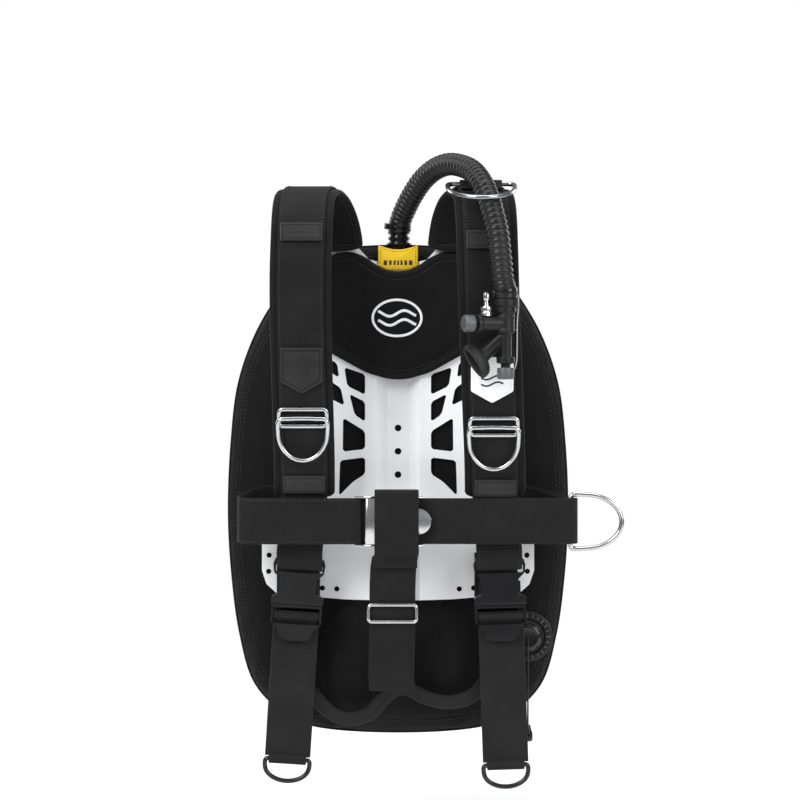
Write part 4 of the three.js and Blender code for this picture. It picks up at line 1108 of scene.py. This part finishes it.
# ---------- elbow ----------
port = [(8.7, 214), (9.7, 216), (9.7, 229.4), (14.2, 229.5), (14.2, 232.5), (10.9, 233), (10.9, 236.5),
        (12.2, 236.8), (12.2, 239.2), (10.6, 239.6), (10.6, 243)]
put(turned("elbow_port", eased(port, 0.6), 56, (1, WING_MIDDLE, 0)), "root", "gloss", "elbow")

# ---------- inflator ----------
deflate_low, deflate_high = span("deflate_button")
inflate_low, inflate_high = span("inflate_button")
AIR = Vector(((deflate_low.x + deflate_high.x) / 2, (deflate_low.y + deflate_high.y) / 2, 0))
BRANCH = -Vector(joints["inflate_button_press"]["axis"])
BRANCH_Z = (inflate_low.z + inflate_high.z) / 2
stem = [(5.2, 91), (5.2, 96), (9.9, 96.4), (9.9, 103.2), (6.4, 103.8), (6.4, 127), (9.8, 129), (9.8, 149),
        (11.5, 151), (11.5, 157), (13.3, 157.5), (13.3, 165)]
branch = [(8.3, 0), (8.3, 29), (9.9, 29.3), (9.9, 33.4), (5.2, 33.6), (5.2, 38.5)]
hub = AIR + Z * BRANCH_Z
parts = [turned("stem", stem, 40, AIR), turned("branch", branch, 40, hub, BRANCH)]
mouth_at = AIR + Vector((-25.5, 0, 103))
long = Vector((0.55, 0, -0.835)).normalized()
face = Vector((-0.7, -0.45, -0.46))
face = (face - long * face.dot(long)).normalized()
duct = [AIR + Vector(q) for q in ((0, 2, 128), (-7, 3, 122), (-15, 3, 114))]
duct += [mouth_at - face, mouth_at + face * 2]
parts.append(sweep("duct", Track(duct, 1.5), oval(7.6, 7.6, 24)))
for lift in (131.5, 146):
    rib = [(9.6, lift - 1), (10.7, lift - 0.6), (10.7, lift + 0.6), (9.6, lift + 1)]
    parts.append(turned("rib", rib, 40, AIR))
put(fused(joined("inflator", parts), 0.65), "root", "plastic", "inflator_body")

mouth = Seat(mouth_at, long, face.cross(long))
lips = [(13, 6.2, -1), (15.5, 7.6, 0.4), (18.2, 8.9, 3), (19.8, 9.5, 6.5), (20, 9.5, 10.6), (19.3, 8.9, 12.3),
        (17.6, 7.3, 13), (15.9, 5.6, 12.4), (15, 4.8, 10.5), (14.6, 4.4, 2)]
put(loft("mouth_bell", mouth, [(oval(a, b, 40), n) for a, b, n in lips]), "root", "rubber", "mouthpiece")


def push_button(name, at, axis, length, node):
    """A fluted cap with a dotted face, which rides on the body named after its node."""
    profile = [(5.6, 0), (9.2, 0), (9.2, length - 1.4), (8.0, length), (3, length - 0.2)]
    cup = turned("cup", eased(profile, 0.4), 48, at, axis,
                 ripple=lambda a, z: 0.25 * math.cos(a * 16) * (0.5 < z < length - 2))
    across = axis.orthogonal()
    seat = Seat(at + axis * (length - 0.25), across, axis.cross(across))
    spots = [(0, 0), *oval(3, 3, 6), *oval(5.8, 5.8, 10)]
    return put(joined(name, [cup, dots("spots", seat, spots, 0.75, 0.7)]), node, "button", node)


push_button("inflate_cap", hub + BRANCH * 37.3, BRANCH, 11, "inflate_button")
push_button("deflate_cap", AIR + Z * 91.6, -Z, 12, "deflate_button")
nipple_at = AIR + BRANCH * 22
nip = [(6.3, 8.2), (6.3, 12), (5.6, 12.4), (5.6, 13.4), (6.3, 13.8), (6.3, 18), (3, 18.2), (3, 22),
       (2.5, 22.4), (2.5, 24), (3.8, 26.6), (3.8, 31), (2.6, 33.5)]
nipple = turned("nipple", eased([(r, BRANCH_Z + z) for r, z in nip], 0.3), 40, nipple_at,
                ripple=lambda a, z: 0.18 * math.cos(a * 12) * (z < BRANCH_Z + 18))
put(nipple, "root", "steel", "inflator_nipple")
bungee = [(126.5, -150, 172), (128.2, -150, 168), (128.6, -150, 158), (127.4, -151, 140), (127.2, -151, 118),
          (126.6, -150, 98), (124.6, -149, 90)]
put(sweep("bungee", Track(bungee, 1.6), oval(0.8, 0.8, 10)), "root", "light_cord")

# ---------- dump valve ----------
valve_low, valve_high = span("dump_valve_base")
VALVE = Vector(((valve_low.x + valve_high.x) / 2, WING_FRONT - 0.3, (valve_low.z + valve_high.z) / 2))
base = [(7.6, -12), (7.6, 0), (28, 0), (28, 2.2), (26.6, 3.1), (20, 3.5), (19.2, 2.4), (16.6, 2.4), (15, 4)]
ring = turned("ring", eased(base, 0.6), 72, VALVE, FRONT)
ticks = []
for i, a in enumerate(angles(24)):
    radial = Vector((math.cos(a), 0, math.sin(a)))
    tick = Seat(VALVE + radial * 23.3 + FRONT * 3, radial, Vector((-math.sin(a), 0, math.cos(a))))
    ticks.append(plaque("tick", tick, box_corners(3.6 if i % 3 else 5.2, 1.1), 0.7, 0.3, edge=0.2))
put(joined("valve_ring", [ring]), "root", "plastic", "dump_valve_base")
put(joined("valve_ticks", ticks), "root", "button")
cap = [(14.6, 4.3), (15.5, 5), (15.5, 10), (13.6, 13), (11, 13.9), (9, 13.2), (3, 13.0)]
cap = turned("valve_cap", eased(cap, 0.5), 72, VALVE, FRONT,
             ripple=lambda a, z: -0.5 * max(0, math.cos(a * 8)) ** 4 * (4.5 < z < 12.5))
put(cap, "root", "gloss", "dump_valve_cap")
CORD_R = 0.9
toggle_low, toggle_high = span("dump_toggle")
TOGGLE = Vector(((toggle_low.x + toggle_high.x) / 2, (toggle_low.y + toggle_high.y) / 2, toggle_high.z))
pull = [(1.2, 0), (2.6, 0), (3.2, -3), (5, -9.7), (5.4, -15.6), (4.2, -18), (1.5, -18)]
toggle = turned("toggle", eased(pull, 0.5), 40, TOGGLE,
                ripple=lambda a, z: 0.25 * math.cos(a * 10) * (-15 < z < -4))
put(toggle, "dump_pull", "gloss", "dump_toggle")
CORD = [(143.5, -45.5, -205.4), (143.5, -47.5, -211.4), (143.5, -48, -221.4), (143.5, -47.5, -245.4),
        (143.5, -46.5, -275.4), (143.5, -46.5, -301.4)]
cord_track = Track(CORD, 1.0)
cord = sweep("pull_cord", cord_track, oval(CORD_R, CORD_R, 12))
put(cord, "dump_pull", "cord", "dump_cord")

# ---------- floor ----------
low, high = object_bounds()
LEFT, NEAR, FAR = 2.0, -1.3, 0.9
ROOM = 0.05  # the tails drop 45 mm when their buckles open
corners = [(x, y, low.z - ROOM) for x, y in ((-LEFT, NEAR), (LEFT, NEAR), (LEFT, FAR), (-LEFT, FAR))]
floor_data = bpy.data.meshes.new("floor")
floor_data.from_pydata(corners, [], [(0, 1, 2, 3)])
floor = bpy.data.objects.new("floor", floor_data)
scene.collection.objects.link(floor)
pale = surface("pale_floor", (0.93, 0.93, 0.93), 0.9, vary=0.01, patch=3, grain=300, grain_depth=0.02)
floor_data.materials.append(pale)
